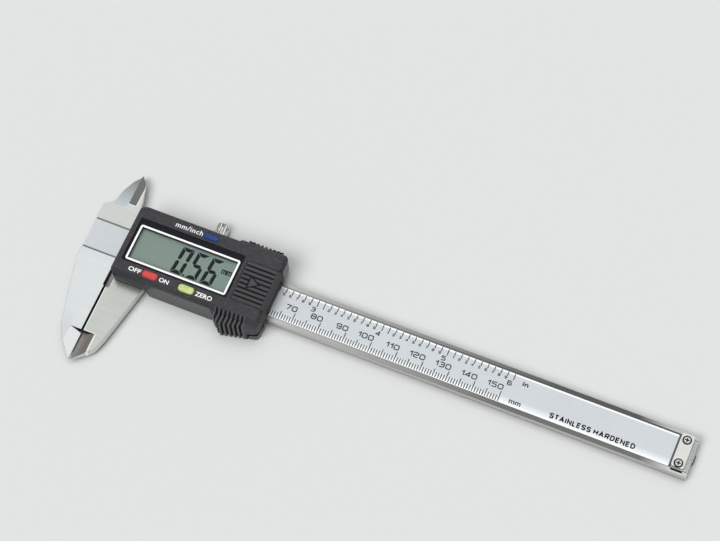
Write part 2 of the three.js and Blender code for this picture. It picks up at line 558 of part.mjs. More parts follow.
function makeEndWiper() {
  return box(COVER.x1 - WALL + 0.15, COVER.x1 - 0.1, -WIPER.half, WIPER.half, BEAM.thick + 0.15, WIPER.top);
}

place('end_wiper', makeEndWiper(), FINISH.wiper);

// ---------------------------------------------------------------- display

place('window_lens', prism(rectangle(inset(LENS, 0.08), 0.5), LENS.floor + SEAT, LENS.floor + LENS.thick, 2),
  FINISH.lens);

function makeDisplayFrame() {
  const outer = box(LCD.x0 - 0.9, LCD.x1 + 0.9, LCD.y0 - 0.9, LCD.y1 + 0.7, BOARD.z1 + 0.1, CEILING - 0.05);
  const room = box(LCD.x0 - 0.05, LCD.x1 + 0.05, LCD.y0 - 0.05, LCD.y1 + 0.05, BOARD.z1, LCD.z1 + 0.03);
  const view = box(VIEW.x0 - 0.1, VIEW.x1 + 0.1, VIEW.y0 - 0.1, VIEW.y1 + 0.1, LCD.z1, CEILING + 1);
  return cut(outer, room, view);
}

place('display_frame', makeDisplayFrame(), FINISH.bezel);
place('lcd_glass', box(LCD.x0, LCD.x1, LCD.y0, LCD.y1, LCD.z0, LCD.z1), FINISH.lcd);
[LCD.y0 + 0.9, LCD.y1 - 0.9].forEach((y, i) => {
  const strip = box(LCD.x0 + 3, LCD.x1 - 3, y - 0.7, y + 0.7, BOARD.z1 + SEAT, LCD.z0 - SEAT);
  place(`contact_rubber_${i + 1}`, strip, FINISH.rubber);
});

// ---------------------------------------------------------------- electronics

function makeMainBoard() {
  const board = box(BOARD.x0, BOARD.x1, -BOARD.half, BOARD.half, BOARD.z0, BOARD.z1);
  const notches = COVER_SCREWS.map(([x, y]) => drumZ(x, y, 0, 9, BOSS_R + 0.25, 16));
  const holes = BOARD_SCREWS.map(([x, y]) => drumZ(x, y, 0, 9, BOARD_SCREW.shank + FIT, 12));
  const corners = COVER_SCREWS.map(([x, y]) => {
    const outX = Math.sign(x - 30);
    const outY = Math.sign(y);
    return box(Math.min(x, x + 6 * outX), Math.max(x, x + 6 * outX), Math.min(y, y + 6 * outY),
      Math.max(y, y + 6 * outY), 0, 9);
  });
  return cut(board, ...notches, ...holes, ...corners);
}

place('main_board', makeMainBoard(), FINISH.board);
BOARD_SCREWS.forEach(([x, y], i) => {
  const { shank, head, tipZ, tall, recess } = BOARD_SCREW;
  const seat = BOARD.z1 + SEAT;
  const top = seat + tall;
  const profile = [[0, tipZ], [shank, tipZ], [shank, seat], [head, seat], [head, top - 0.3],
    [head - 0.4, top], [0, top]];
  place(`board_screw_${i + 1}`, screw(x, y, profile, top, 1, recess), FINISH.steel);
});

function makeChip() {
  const z = BOARD.z1 + SEAT;
  const dome = [0, 0.25, 0.5, 0.75].map((t) => {
    const angle = (t * Math.PI) / 2;
    return [CHIP.r * Math.cos(angle), z + CHIP.edge + CHIP.rise * Math.sin(angle)];
  });
  return turned(CHIP.x, CHIP.y, [[0, z], [CHIP.r, z], ...dome, [0, z + CHIP.edge + CHIP.rise]]);
}

place('chip', makeChip(), FINISH.epoxy);
BUTTONS.forEach(({ name, x, y }) => {
  const z = BOARD.z1 + SEAT;
  const { w, d, tall } = SWITCH;
  const body = box(x - w / 2, x + w / 2, y - d / 2, y + d / 2, z, z + tall);
  const plunger = drumZ(x, y, z + tall / 2, BUTTON.stemZ - BUTTON.travel - 0.1, SWITCH.plunger, 12);
  place(`switch_${name}`, join(body, plunger), FINISH.rubber);
});

// ---------------------------------------------------------------- buttons

BUTTONS.forEach(({ name, x, y, width, depth, colour }) => {
  const crown = prism(pill(x, y, width, depth), CEILING - 0.6, BUTTON.top);
  const flange = prism(pill(x, y, width + 1, depth + 0.6), CEILING - 0.7, CEILING - 0.1);
  const stem = box(x - 1.2, x + 1.2, y - 0.65, y + 0.65, BUTTON.stemZ, CEILING - 0.5);
  place(`button_${name}`, join(crown, flange, stem), finish(colour, 0.45, 0));
});

// ---------------------------------------------------------------- battery and its door

const BATTERY_CELL = [
  [0, BATTERY.z0], [4.2, BATTERY.z0], [4.4, BATTERY.z0 + 0.3], [5.5, BATTERY.z0 + 0.3],
  [BATTERY.r, BATTERY.z0 + 0.6], [BATTERY.r, BATTERY.z1 - 0.2], [BATTERY.r - 0.2, BATTERY.z1],
  [0, BATTERY.z1]];
place('battery', turned(BATTERY.x, BATTERY.y, BATTERY_CELL, 32), FINISH.steel);

function makeNegativeContact() {
  const z = BOARD.z1 + SEAT;
  const foot = box(BATTERY.x - 4, BATTERY.x + 4, BATTERY.y - 1.2, BATTERY.y + 1.2, z, z + 0.15);
  const touch = BATTERY.z0 - 0.03;
  const pip = turned(BATTERY.x, BATTERY.y, [[0, z], [1.5, z], [1.1, touch], [0, touch]], 12);
  return join(foot, pip);
}

function makePositiveContact() {
  const z = BOARD.z1 + SEAT;
  const x = BATTERY.x - BATTERY.r - 0.35;
  const blade = box(x, x + 0.25, BATTERY.y - 2.5, BATTERY.y + 2.5, z, BATTERY.z1 - 2.4);
  const foot = box(x - 1.2, x + 0.25, BATTERY.y - 2.5, BATTERY.y + 2.5, z, z + 0.25);
  return join(blade, foot);
}

place('battery_contact_negative', makeNegativeContact(), FINISH.brass);
place('battery_contact_positive', makePositiveContact(), FINISH.brass);

function makeBatteryDoor() {
  const gap = 0.1;
  const x0 = BAY.x0 + gap;
  const x1 = COVER.x1 - 0.1;
  const y0 = BAY.y0 + gap;
  const y1 = BAY.y1 - gap;
  const panel = box(x0, x1, y0, y1, DOOR.z0, COVER.top);
  const tongues = box(x0, x1 - WALL - 0.3, y0 - DOOR.tongue, y1 + DOOR.tongue, DOOR.z0, DOOR.tongueZ);
  const end = box(x1 - 1.1, x1, y0, y1, DOOR.endZ, COVER.top);
  const { endIn, endDrop } = EDGE;
  const rounding = prismY([[COVER.top - endDrop, x1], [COVER.top, x1 - endIn], [COVER.top + 1, x1 - endIn],
    [COVER.top + 1, x1 + 1], [COVER.top - endDrop, x1 + 1]], y0 - 1, y1 + 1);
  const pitch = (y1 - y0) / (DOOR.grooves + 1);
  const grooves = Array.from({ length: DOOR.grooves }, (_, i) => {
    const y = y0 + (i + 1) * pitch;
    const half = DOOR.wide / 2;
    return prismX([[y - half, COVER.top], [y, COVER.top - DOOR.deep], [y + half, COVER.top],
      [y + half, COVER.top + 1], [y - half, COVER.top + 1]], x0 + 0.5, DOOR.ribX1);
  });
  const arrow = prism(outline([[ARROW.x0, -ARROW.half + 0.1], [ARROW.x1, 0.1], [ARROW.x0, ARROW.half + 0.1]]),
    DOOR.z0 + 0.1, COVER.top);
  return join(cut(join(panel, tongues, end), rounding, ...grooves), arrow);
}

place('battery_door', makeBatteryDoor(), FINISH.housing);

export default caliper;
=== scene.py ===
"""A digital caliper in a pale studio: materials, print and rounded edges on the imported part."""

import json
import math

import bmesh
import bpy
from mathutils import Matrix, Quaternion, Vector


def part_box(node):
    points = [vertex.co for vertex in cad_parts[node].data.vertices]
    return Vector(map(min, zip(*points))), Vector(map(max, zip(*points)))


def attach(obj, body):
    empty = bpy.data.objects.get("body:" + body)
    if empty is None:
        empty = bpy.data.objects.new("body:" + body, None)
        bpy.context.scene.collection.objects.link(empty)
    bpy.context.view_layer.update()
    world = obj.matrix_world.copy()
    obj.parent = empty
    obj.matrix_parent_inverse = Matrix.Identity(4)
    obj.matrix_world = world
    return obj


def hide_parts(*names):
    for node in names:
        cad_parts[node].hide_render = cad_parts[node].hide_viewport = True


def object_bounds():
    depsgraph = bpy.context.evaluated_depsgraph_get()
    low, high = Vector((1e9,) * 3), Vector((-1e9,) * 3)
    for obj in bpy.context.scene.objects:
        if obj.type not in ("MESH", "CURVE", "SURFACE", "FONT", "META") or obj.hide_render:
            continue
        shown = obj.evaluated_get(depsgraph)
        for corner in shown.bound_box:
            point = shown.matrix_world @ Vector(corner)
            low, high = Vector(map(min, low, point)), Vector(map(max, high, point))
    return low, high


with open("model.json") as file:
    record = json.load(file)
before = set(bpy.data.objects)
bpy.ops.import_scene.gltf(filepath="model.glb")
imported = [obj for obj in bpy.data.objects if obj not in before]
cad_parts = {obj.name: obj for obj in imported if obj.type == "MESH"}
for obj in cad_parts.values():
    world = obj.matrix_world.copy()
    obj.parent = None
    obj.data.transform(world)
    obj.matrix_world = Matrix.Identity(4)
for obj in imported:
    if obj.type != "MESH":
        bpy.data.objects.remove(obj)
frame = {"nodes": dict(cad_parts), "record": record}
cad_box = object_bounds()
nodes = frame["nodes"]
record = frame["record"]

# ------------------------------------------------------------------ where things are

MM = 0.001
HEAD = 14.6  # from the head's end to the fixed jaw's outside measuring face
OPEN = 0.56  # the gap between the jaws, which the display shows
PRINT = 0.012  # thickness of a printed layer

beam_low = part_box("beam")[0]
foil_low, foil_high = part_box("scale_foil")
DATUM = Vector((beam_low.x + HEAD * MM, (foil_low.y + foil_high.y) / 2, beam_low.z))


def at(x, y, z):
    """The point at x along the beam, y across it and z up from its back, all in millimetres."""
    return DATUM + Vector((x, y, z)) * MM


def top_of(node):
    """The height of a CAD node's top over the beam's back, in millimetres."""
    return (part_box(node)[1].z - DATUM.z) / MM


BODY_OF = {n: body for body, members in record["behaviour"]["bodies"].items() for n in members}
SLOT_OF = {row["node"]: row["material_slot"] for row in record["subparts"]}

# ------------------------------------------------------------------ materials


SOFT_EDGE = 0.06  # over how many millimetres the ends of a mask fade
NOISE_SPAN = (0.3, 0.7)  # between these lie most of a noise's values


class Finish:
    """A Principled material whose colour, roughness and relief come from procedural nodes."""

    def __init__(self, name, color, roughness, metallic=0.0, **sockets):
        self.material = bpy.data.materials.new(name)
        self.material.use_nodes = True
        self.tree = self.material.node_tree
        self.shader = self.tree.nodes["Principled BSDF"]
        self.color = (*color, 1.0)
        self.feed(self.shader, Base_Color=self.color, Roughness=roughness, Metallic=metallic)
        self.feed(self.shader, **sockets)
        coordinates = self.node("ShaderNodeTexCoord")
        self.place = coordinates.outputs["Object"]
        self.normal = coordinates.outputs["Normal"]

    def node(self, kind, **fields):
        made = self.tree.nodes.new(kind)
        for field, value in fields.items():
            setattr(made, field, value)
        return made

    def give(self, socket, value):
        """Links an input to another node's output, or sets it to a plain value."""
        if isinstance(value, bpy.types.NodeSocket):
            self.tree.links.new(value, socket)
        else:
            socket.default_value = value

    def feed(self, made, **values):
        """Gives a node its inputs by name, with underscores for spaces."""
        for key, value in values.items():
            self.give(made.inputs[key.replace("_", " ")], value)
        return made

    def grain(self, size, detail=3.0):
        """Noise from 0 to 1 whose features are about size millimetres along x, y and z."""
        scale = tuple(1 / (s * MM) for s in size)
        stretch = self.feed(self.node("ShaderNodeMapping"), Vector=self.place, Scale=scale)
        noise = self.node("ShaderNodeTexNoise")
        self.feed(noise, Vector=stretch.outputs["Vector"], Scale=1.0, Detail=detail)
        return noise.outputs["Fac"]

    def spread(self, value, low, high, to_low=0.0, to_high=1.0):
        """value from low..high carried onto to_low..to_high."""
        made = self.node("ShaderNodeMapRange")
        self.feed(made, Value=value, From_Min=low, From_Max=high, To_Min=to_low, To_Max=to_high)
        return made.outputs["Result"]

    def calculate(self, operation, a, b):
        made = self.node("ShaderNodeMath", operation=operation)
        for socket, value in zip(made.inputs, (a, b)):
            self.give(socket, value)
        return made.outputs["Value"]

    def magnitude(self, value):
        return self.calculate("ABSOLUTE", value, 0.0)

    def component(self, vector, letter):
        split = self.feed(self.node("ShaderNodeSeparateXYZ"), Vector=vector)
        return split.outputs[letter]

    def axis(self, letter):
        """The place along one axis, in millimetres from the datum."""
        start = DATUM["XYZ".index(letter)]
        off = self.calculate("SUBTRACT", self.component(self.place, letter), start)
        return self.calculate("MULTIPLY", off, 1 / MM)

    def direction(self, letter):
        """The surface's own direction along one axis, from -1 to 1."""
        return self.component(self.normal, letter)

    def facing(self, letter, low, high):
        """Rises from 0 to 1 as the surface's own direction along an axis goes from low to high."""
        return self.spread(self.direction(letter), low, high)

    def past(self, letter, start, end):
        """Rises from 0 to 1 as the place along an axis goes from start to end, in millimetres."""
        return self.spread(self.axis(letter), start, end)

    def within(self, letter, low, high):
        """1 from low to high along an axis, in millimetres, and 0 elsewhere."""
        return self.all(
            self.past(letter, low - SOFT_EDGE, low), self.past(letter, high + SOFT_EDGE, high)
        )

    def near(self, letter, first, pitch, half):
        """1 within half of each of a row of places pitch apart along an axis, 0 between them."""
        off = self.calculate("SUBTRACT", self.axis(letter), first)
        off = self.calculate("PINGPONG", off, pitch / 2)
        return self.spread(off, half + SOFT_EDGE, half - SOFT_EDGE)

    def all(self, *factors):
        """The product of several masks."""
        product = factors[0]
        for factor in factors[1:]:
            product = self.calculate("MULTIPLY", product, factor)
        return product

    def tint(self, factor, color):
        """Mixes another colour into the base colour by factor."""
        mixed = self.node("ShaderNodeMix", data_type="RGBA")
        self.feed(mixed, Factor=factor, A=self.color, B=(*color, 1.0))
        self.color = mixed.outputs["Result"]
        self.feed(self.shader, Base_Color=self.color)

    def rough(self, factor, low, high):
        """Takes the roughness from low to high with a noise."""
        self.feed(self.shader, Roughness=self.spread(factor, *NOISE_SPAN, low, high))

    def polish(self, factor, value):
        """Brings the roughness to value where factor is 1."""
        before = self.shader.inputs["Roughness"].links[0].from_socket
        mixed = self.node("ShaderNodeMix", data_type="FLOAT")
        self.feed(mixed, Factor=factor, A=before, B=value)
        self.feed(self.shader, Roughness=mixed.outputs["Result"])

    def relief(self, height, depth):
        """A bump whose full height is depth millimetres."""
        bump = self.node("ShaderNodeBump")
        self.feed(bump, Height=height, Distance=depth * MM, Strength=1.0)
        self.feed(self.shader, Normal=bump.outputs["Normal"])


def shade(color, by):
    return tuple(channel * by for channel in color)


def steel(name, color, lines, depth=0.004, rough=(0.24, 0.36)):
    """Ground stainless steel. lines are the sizes of its grinding marks along x, y and z."""
    made = Finish(name, color, rough[0], metallic=1.0)
    marks = made.grain(lines, detail=4)
    blotches = made.grain((11, 7, 7), detail=3)
    made.tint(made.spread(marks, 0.35, 0.75), shade(color, 0.9))
    made.tint(made.spread(blotches, 0.35, 0.75, 0, 0.6), shade(color, 0.9))
    made.rough(marks, *rough)
    made.relief(marks, depth)
    return made


STEEL = (0.76, 0.775, 0.745)
PALE_STEEL = (0.83, 0.86, 0.865)
WARM_STEEL = (0.685, 0.71, 0.665)
# Painted highlight along bright edges of the steel and the foil.
PAINTED_HIGHLIGHT = (0.99, 0.99, 0.98)
ALONG = (14, 0.07, 0.07)
EVEN = (0.3, 0.3, 0.3)
LEVEL = (0.7, 0.95)  # the upward part of a surface's direction, on a flat top

# Painted shade, shadow, reflections and highlights on the steel, where its surroundings light it,
# and on the beam the lines at the edges of the foil's recess.
BEAM_TINT = {
    "upper_rim_shade": (0.115, 0.118, 0.122),
    "lower_rim_shade": (0.19, 0.195, 0.19),
    "tip": (0.87, 0.90, 0.875),
    "tip_slope_shade": (0.765, 0.785, 0.80),
    "inside_bevel_reflection": (0.74, 0.69, 0.70),
    "foil_cut": (0.55, 0.57, 0.56),
    "shoulder": (0.02, 0.025, 0.022),
    "gap": (0.012, 0.014, 0.013),
    "flank": (0.60, 0.585, 0.56),
    "flank_foot_shade": (0.40, 0.385, 0.36),
    "pocket_shade": (0.006, 0.006, 0.006),
}
JAW_PAINTED_LIGHT = {
    "behind": (0.62, 0.67, 0.71),
    "behind_end_shade": (0.28, 0.32, 0.305),
    "nose": (1.0, 1.0, 0.97),
    "tip_bevel_reflection": (0.70, 0.62, 0.56),
    "bevel_end_reflection": (0.95, 0.95, 0.90),
    "step": (0.06, 0.06, 0.055),
    "foot": (0.10, 0.10, 0.105),
    "foot_top_shade": (0.004, 0.004, 0.004),
}


def beam_steel():
    """The fixed jaws are bright below the beam; painted reflection darkens the beam's rims towards
    its tail.
    """
    made = steel("beam_steel", STEEL, ALONG)
    hue = BEAM_TINT
    made.tint(made.all(made.past("Y", 2.0, -9.0), made.past("X", 2.0, 1.0)), PALE_STEEL)

    # Painted reflection darkening the rims beside the foil, and painted shade along the upper one
    # next to the foil.
    upper = made.all(made.past("Y", 6.1, 6.3), made.past("X", 1.7, 2.0), made.past("X", 15, 170))
    upper = made.all(upper, made.facing("Z", *LEVEL))
    fade = made.spread(made.axis("X"), 198, 210, 1, 0.25)
    made.tint(made.all(upper, fade), hue["upper_rim_shade"])
    shade_strip = made.all(upper, made.past("Y", 6.9, 6.7), made.past("X", 219, 216))
    made.tint(shade_strip, hue["upper_rim_shade"])
    lower = made.all(made.past("Y", -6.1, -6.3), made.past("X", 1.7, 2.0))
    lower = made.all(lower, made.facing("Z", *LEVEL), made.past("X", 30, 150))
    fade = made.spread(made.axis("X"), 203, 214, 1, 0.1)
    made.tint(made.all(lower, fade), hue["lower_rim_shade"])

    # Painted highlight and shade on the fixed jaws' tips, painted reflection and highlights on the
    # inside jaw's bevel, the edges of the foil's recess, and painted shadow where the outside jaw
    # steps down to its tip.
    tip = made.all(made.past("Y", -36.8, -37.0), made.past("X", 0.5, 0), made.facing("Z", 0.2, 0.5))
    made.tint(made.all(tip, made.past("X", -4.9, -4.5)), hue["tip"])
    slope = made.all(made.past("Y", -30, -38), made.past("X", -4.4, -4.8))
    made.tint(slope, hue["tip_slope_shade"])
    bevel = made.all(made.past("Y", 15.8, 16.0), made.facing("X", 0.1, 0.25))
    made.tint(bevel, hue["inside_bevel_reflection"])
    across = made.magnitude(made.axis("Y"))
    cut = made.all(made.spread(across, 5.75, 5.8), made.spread(across, 6.15, 6.1))
    cut = made.all(cut, made.past("X", 1.9, 1.7))
    made.tint(cut, hue["foil_cut"])
    made.tint(made.all(made.within("X", -3.0, -2.55), made.past("Y", 15.6, 15.9)), PAINTED_HIGHLIGHT)
    made.tint(made.all(made.within("X", -6.4, -2.9), made.within("Y", 15.4, 15.7)), PAINTED_HIGHLIGHT)
    shoulder = made.all(made.facing("Y", -0.6, -0.75), made.facing("Z", 0.2, 0.4))
    shoulder = made.all(shoulder, made.past("X", 0.5, 0), made.within("Y", -38.6, -36.0))
    made.tint(shoulder, hue["shoulder"])

    # Painted shade between the jaws, on the measuring face and along its edge.
    gap = made.all(made.facing("X", 0.8, 0.95), made.within("X", -1.2, 0.3))
    made.tint(made.all(gap, made.past("Y", -7, -8)), hue["gap"])
    lip_shade = made.all(made.within("X", -0.22, 0.3), made.past("Y", -17.5, -18.5))
    made.tint(made.all(lip_shade, made.past("Y", -37.0, -36.6)), hue["gap"])

    # Painted reflection on the beam's lower side, with painted shade towards its foot, and painted
    # shadow by the stop plate.
    flank = made.all(made.facing("Y", -0.8, -0.95), made.past("X", 14, 15))
    made.tint(flank, hue["flank"])
    made.tint(made.all(flank, made.past("Z", 2.2, 0.2)), hue["flank_foot_shade"])
    pocket_shade = made.all(made.within("X", 214.3, 218.7), made.within("Y", -7.2, -6.2))
    made.tint(made.all(pocket_shade, made.past("Z", 3.49, 3.4)), hue["pocket_shade"])
    return made.material


def slider_steel():
    """The moving jaws are warmer than the beam; painted shade lies on the inside one, darker
    towards its end.
    """
    made = steel("slider_steel", WARM_STEEL, ALONG)
    hue = JAW_PAINTED_LIGHT
    # Painted shade on the inside moving jaw, darker towards its end.
    behind = made.all(made.past("Y", 13.6, 14.4), made.past("X", 0, -1))
    made.tint(behind, hue["behind"])
    made.tint(made.all(behind, made.past("Y", 15.5, 26)), hue["behind_end_shade"])
    # Painted light on the faces at the root of the outside jaw that turn towards -X.
    nose = made.all(made.facing("X", -0.12, -0.2), made.past("X", 3, 2.8))
    nose = made.all(nose, made.past("Y", -18.6, -18.4), made.past("Y", -12, -12.4))
    made.tint(nose, hue["nose"])

    # Painted highlights along the edges of the outside jaw's measuring face and its tip.
    tip = made.past("Y", -36.7, -36.9)
    edge = made.all(made.within("X", 0.5, 0.95), made.past("Y", -18.2, -18.6))
    edge = made.all(edge, made.facing("Z", 0.3, 0.6), made.past("Y", -36.9, -36.7))
    made.tint(edge, PAINTED_HIGHLIGHT)
    made.tint(made.all(tip, made.within("X", 5.1, 5.7)), PAINTED_HIGHLIGHT)
    made.tint(made.all(made.within("Y", -36.6, -36.4), made.within("X", 0.56, 5.5)), PAINTED_HIGHLIGHT)

    # Painted reflection on the tip's bevel, lighter towards its end, and painted shadow on the step
    # behind it.
    bevel = made.all(tip, made.facing("X", -0.2, -0.28), made.past("X", 5.3, 5.2))
    made.tint(bevel, hue["tip_bevel_reflection"])
    bevel = made.all(bevel, made.past("X", 3.4, 1.4), made.past("Y", -37.5, -39.5))
    made.tint(bevel, hue["bevel_end_reflection"])
    step = made.all(made.within("Y", -37.3, -36.65), made.facing("Y", -0.35, -0.6))
    made.tint(made.all(step, made.within("X", 0.5, 5.4)), hue["step"])

    # Painted shade on the foot by the thumb rest, darkest on its top.
    foot = made.all(made.past("X", 55, 55.4), made.past("Y", -8.2, -8.6))
    made.tint(foot, hue["foot"])
    made.tint(made.all(foot, made.facing("Z", 0.6, 0.9)), hue["foot_top_shade"])
    return made.material


def bright_steel(name, shade_below=None):
    """Plated steel for small parts, with painted shade in its recess below the given height, in
    millimetres.
    """
    made = steel(name, (0.83, 0.83, 0.79), EVEN, 0.002, (0.2, 0.3))
    if shade_below is not None:
        made.tint(made.past("Z", shade_below + 0.03, shade_below - 0.03), (0.01, 0.01, 0.01))
    return made.material


def knurled_steel():
    """The lock screw's head: bright ridges, with dark streaks along its axis on its sides."""
    made = steel("knurled_steel", (0.93, 0.93, 0.92), (0.16, 3.0, 0.16), 0.02, (0.12, 0.3))
    side = made.spread(made.magnitude(made.direction("Y")), 0.5, 0.3)
    dark_streaks = made.spread(made.grain((0.55, 2.2, 0.55), 2), 0.5, 0.62)
    made.tint(made.all(side, dark_streaks), (0.26, 0.27, 0.27))
    return made.material


def rod_steel():
    made = steel("rod_steel", STEEL, ALONG)
    # Painted shade on the rod's end beyond the beam.
    made.tint(made.past("X", 220.6, 220.9), (0.05, 0.05, 0.05))
    return made.material


def plastic(name, color, roughness, size=0.16, depth=0.012, contrast=1.0, **sockets):
    """A moulding with a fine spark-eroded texture over faint clouds."""
    made = Finish(name, color, roughness, **sockets)
    fine = made.grain((size, size, size), detail=2)
    coarse = made.grain((size * 5, size * 5, size * 5), detail=2)
    cloud = made.grain((6, 6, 6), detail=2)
    made.tint(made.spread(fine, 0.35, 0.75), shade(color, 1.7))
    made.tint(made.spread(coarse, 0.42, 0.62, 0, 0.7 * contrast), shade(color, 1.9))
    made.tint(made.spread(cloud, 0.45, 0.75, 0, 0.2), shade(color, 0.8))
    made.rough(fine, roughness - 0.07, roughness + 0.09)
    made.relief(made.calculate("ADD", fine, made.calculate("MULTIPLY", coarse, 2.0)), depth)
    return made


CHARCOAL = (0.0172, 0.0172, 0.0192)
# Painted shade of the wiper's slot.
SLOT_SHADE_BLACK = (0.004, 0.004, 0.004)
LOWER_GRIP = {"first": 44.435, "pitch": 1.655, "start": 43.2, "end": 55.6, "edge": (-12.95, -13.15)}
UPPER_GRIP = {"first": 44.973, "pitch": 1.593, "start": 43.8, "end": 57.3, "edge": (14.95, 15.0)}
GROOVE_HALF = 0.42
# Painted shade for grooves and upright ends, and painted light for ridges and slopes.
PAINTED_SHADE_BLACK = (0.003, 0.003, 0.0035)
PAINTED_RIDGE_LIGHT = (0.050, 0.050, 0.053)
PAINTED_DOOR_LIGHT = (0.037, 0.037, 0.039)
POLISHED = 0.22


def charcoal(name):
    """The dark moulding of the cover and the door."""
    return plastic(name, CHARCOAL, 0.5, contrast=1.4, Specular_IOR_Level=0.4)


def housing():
    """The cover: polished on parts of its sides, with painted light on its finger ridges and
    painted shade in their grooves.
    """
    made = charcoal("dark_housing")
    upright = made.spread(made.magnitude(made.direction("Z")), 0.5, 0.25)
    made.polish(made.all(upright, made.past("X", 43, 42)), POLISHED)
    corner = made.all(upright, made.past("X", 59, 59.5), made.past("Y", 8.4, 8.8))
    made.polish(corner, POLISHED)
    for grip in (LOWER_GRIP, UPPER_GRIP):
        ridged = made.within("X", grip["start"], grip["end"])
        region = made.all(ridged, made.past("Y", *grip["edge"]))
        groove = made.near("X", grip["first"], grip["pitch"], GROOVE_HALF)
        made.tint(region, PAINTED_RIDGE_LIGHT)
        made.tint(made.all(region, groove), PAINTED_SHADE_BLACK)
    return made.material


def door_housing():
    """The battery door: painted light on its ridge tops and the slope at its end, painted shade in
    its grooves and on its upright end.
    """
    made = charcoal("door_housing")
    top = top_of("front_cover")
    field = made.all(made.within("X", 47.4, 58.8), made.within("Y", -7.6, 7.2))
    made.tint(made.all(field, made.past("Z", top - 0.12, top - 0.02)), PAINTED_DOOR_LIGHT)
    grooves = made.all(made.past("X", 58.9, 58.8), made.past("Z", top - 0.15, top - 0.5))
    made.tint(grooves, PAINTED_SHADE_BLACK)
    end = made.past("X", 59.1, 59.3)
    made.tint(made.all(end, made.facing("Z", 0.3, 0.6)), PAINTED_DOOR_LIGHT)
    made.tint(made.all(end, made.facing("Z", 0.3, 0.1)), PAINTED_SHADE_BLACK)
    return made.material


def foil():
    """Brushed foil with painted highlights along its edges and towards its lower edge; past the
    stop plate it is matt grey metal with painted shadow of the plate.
    """
    color = (0.65, 0.68, 0.705)
    made = Finish("printed_foil", color, 0.4, metallic=0.75)
    brush = made.grain((10, 0.05, 0.05), detail=3)
    sparkle = made.grain((0.45, 0.3, 0.3), detail=3)
    cloud = made.grain((16, 9, 9), detail=2)
    made.tint(made.spread(brush, 0.35, 0.75), shade(color, 0.93))
    made.tint(made.spread(sparkle, 0.4, 0.7), shade(color, 0.86))
    made.tint(made.spread(cloud, 0.35, 0.7, 0, 0.5), (0.63, 0.685, 0.71))
    across = made.magnitude(made.axis("Y"))
    # Painted highlight towards the foil's lower edge, fading in from x = 40 to 60.
    made.tint(made.all(made.past("Y", -3.2, -5.4), made.past("X", 40, 60)), (0.86, 0.885, 0.895))
    # Painted highlights along the foil's edges beyond the head; a dark seam at them on the head.
    made.tint(made.all(made.spread(across, 5.35, 5.7), made.past("X", 1.6, 1.9)), PAINTED_HIGHLIGHT)
    seam = made.all(made.spread(across, 5.6, 5.7), made.past("X", 1.9, 1.6))
    made.tint(seam, (0.22, 0.235, 0.23))
    # Painted shadow of the stop plate along its left edge.
    made.tint(made.within("X", 213.35, 214.2), (0.10, 0.10, 0.115))
    # Matt grey metal past the stop plate, with painted shadow of the plate in it.
    dull_and_shadowed = made.all(made.past("X", 218.5, 218.6), made.spread(sparkle, 0.35, 0.6, 0.5, 1.0))
    made.tint(dull_and_shadowed, (0.34, 0.35, 0.345))
    made.rough(brush, 0.36, 0.46)
    made.relief(sparkle, 0.004)
    return made.material


def wiper():
    """A felt wiper in its slot, with the slot's painted shade blackening it above a height and at
    its ends.
    """
    color = (0.078, 0.085, 0.095)
    made = Finish("grey_felt", color, 0.8)
    fibre = made.grain((0.3, 0.3, 0.3), detail=3)
    made.tint(made.spread(fibre, 0.35, 0.7), shade(color, 0.6))
    made.tint(made.past("Z", 6.0, 6.3), SLOT_SHADE_BLACK)
    across = made.magnitude(made.axis("Y"))
    made.tint(made.spread(across, 5.7, 6.0), SLOT_SHADE_BLACK)
    made.rough(fibre, 0.75, 0.9)
    made.relief(fibre, 0.05)
    return made.material


def circuit_board():
    color = (0.03, 0.15, 0.07)
    made = Finish("circuit_board", color, 0.4)
    weave = made.grain((0.25, 0.25, 0.25), detail=1)
    tracks = made.node("ShaderNodeTexBrick", offset=0.35, squash=0.7)
    stretch = made.node("ShaderNodeMapping")
    made.feed(stretch, Vector=made.place, Scale=(900.0, 900.0, 900.0))
    made.feed(tracks, Vector=stretch.outputs["Vector"], Scale=1.0, Mortar_Size=0.06)
    made.tint(made.calculate("MULTIPLY", tracks.outputs["Fac"], 0.6), (0.10, 0.32, 0.14))
    made.rough(weave, 0.34, 0.46)
    made.relief(weave, 0.01)
    return made.material


def brass():
    color = (0.62, 0.45, 0.18)
    made = Finish("drawn_brass", color, 0.3, metallic=1.0)
    lines = made.grain((5, 0.08, 0.08))
    made.tint(made.spread(lines, 0.35, 0.8), shade(color, 0.8))
    made.rough(lines, 0.26, 0.4)
    made.relief(lines, 0.004)
    return made.material


def lcd():
    color = (0.155, 0.203, 0.170)
    made = Finish("liquid_crystal", color, 0.35, Specular_IOR_Level=0.3)
    cloud = made.grain((14, 14, 14), detail=1)
    film = made.grain((0.2, 0.2, 0.2), detail=1)
    made.tint(made.spread(cloud, 0.35, 0.65), (0.143, 0.196, 0.185))
    made.rough(film, 0.32, 0.4)
    return made.material


def lens():
    made = Finish("clear_window", (0.05, 0.06, 0.055), 0.06, Alpha=0.05, Specular_IOR_Level=0.2)
    smear = made.grain((6, 3, 3), detail=2)
    made.rough(smear, 0.04, 0.1)
    return made.material


def ink(name, color, roughness=0.5):
    made = Finish(name, color, roughness, Specular_IOR_Level=0.06)
    speckle = made.grain((0.08, 0.08, 0.08), detail=1)
    made.tint(made.spread(speckle, 0.5, 0.8), shade(color, 0.85))
    made.rough(speckle, roughness - 0.05, roughness + 0.05)
    return made.material


def button_plastic(name, color):
    """The smooth moulding of a push button."""
    return plastic(name, color, 0.36, size=0.3, depth=0.004, contrast=0.4).material


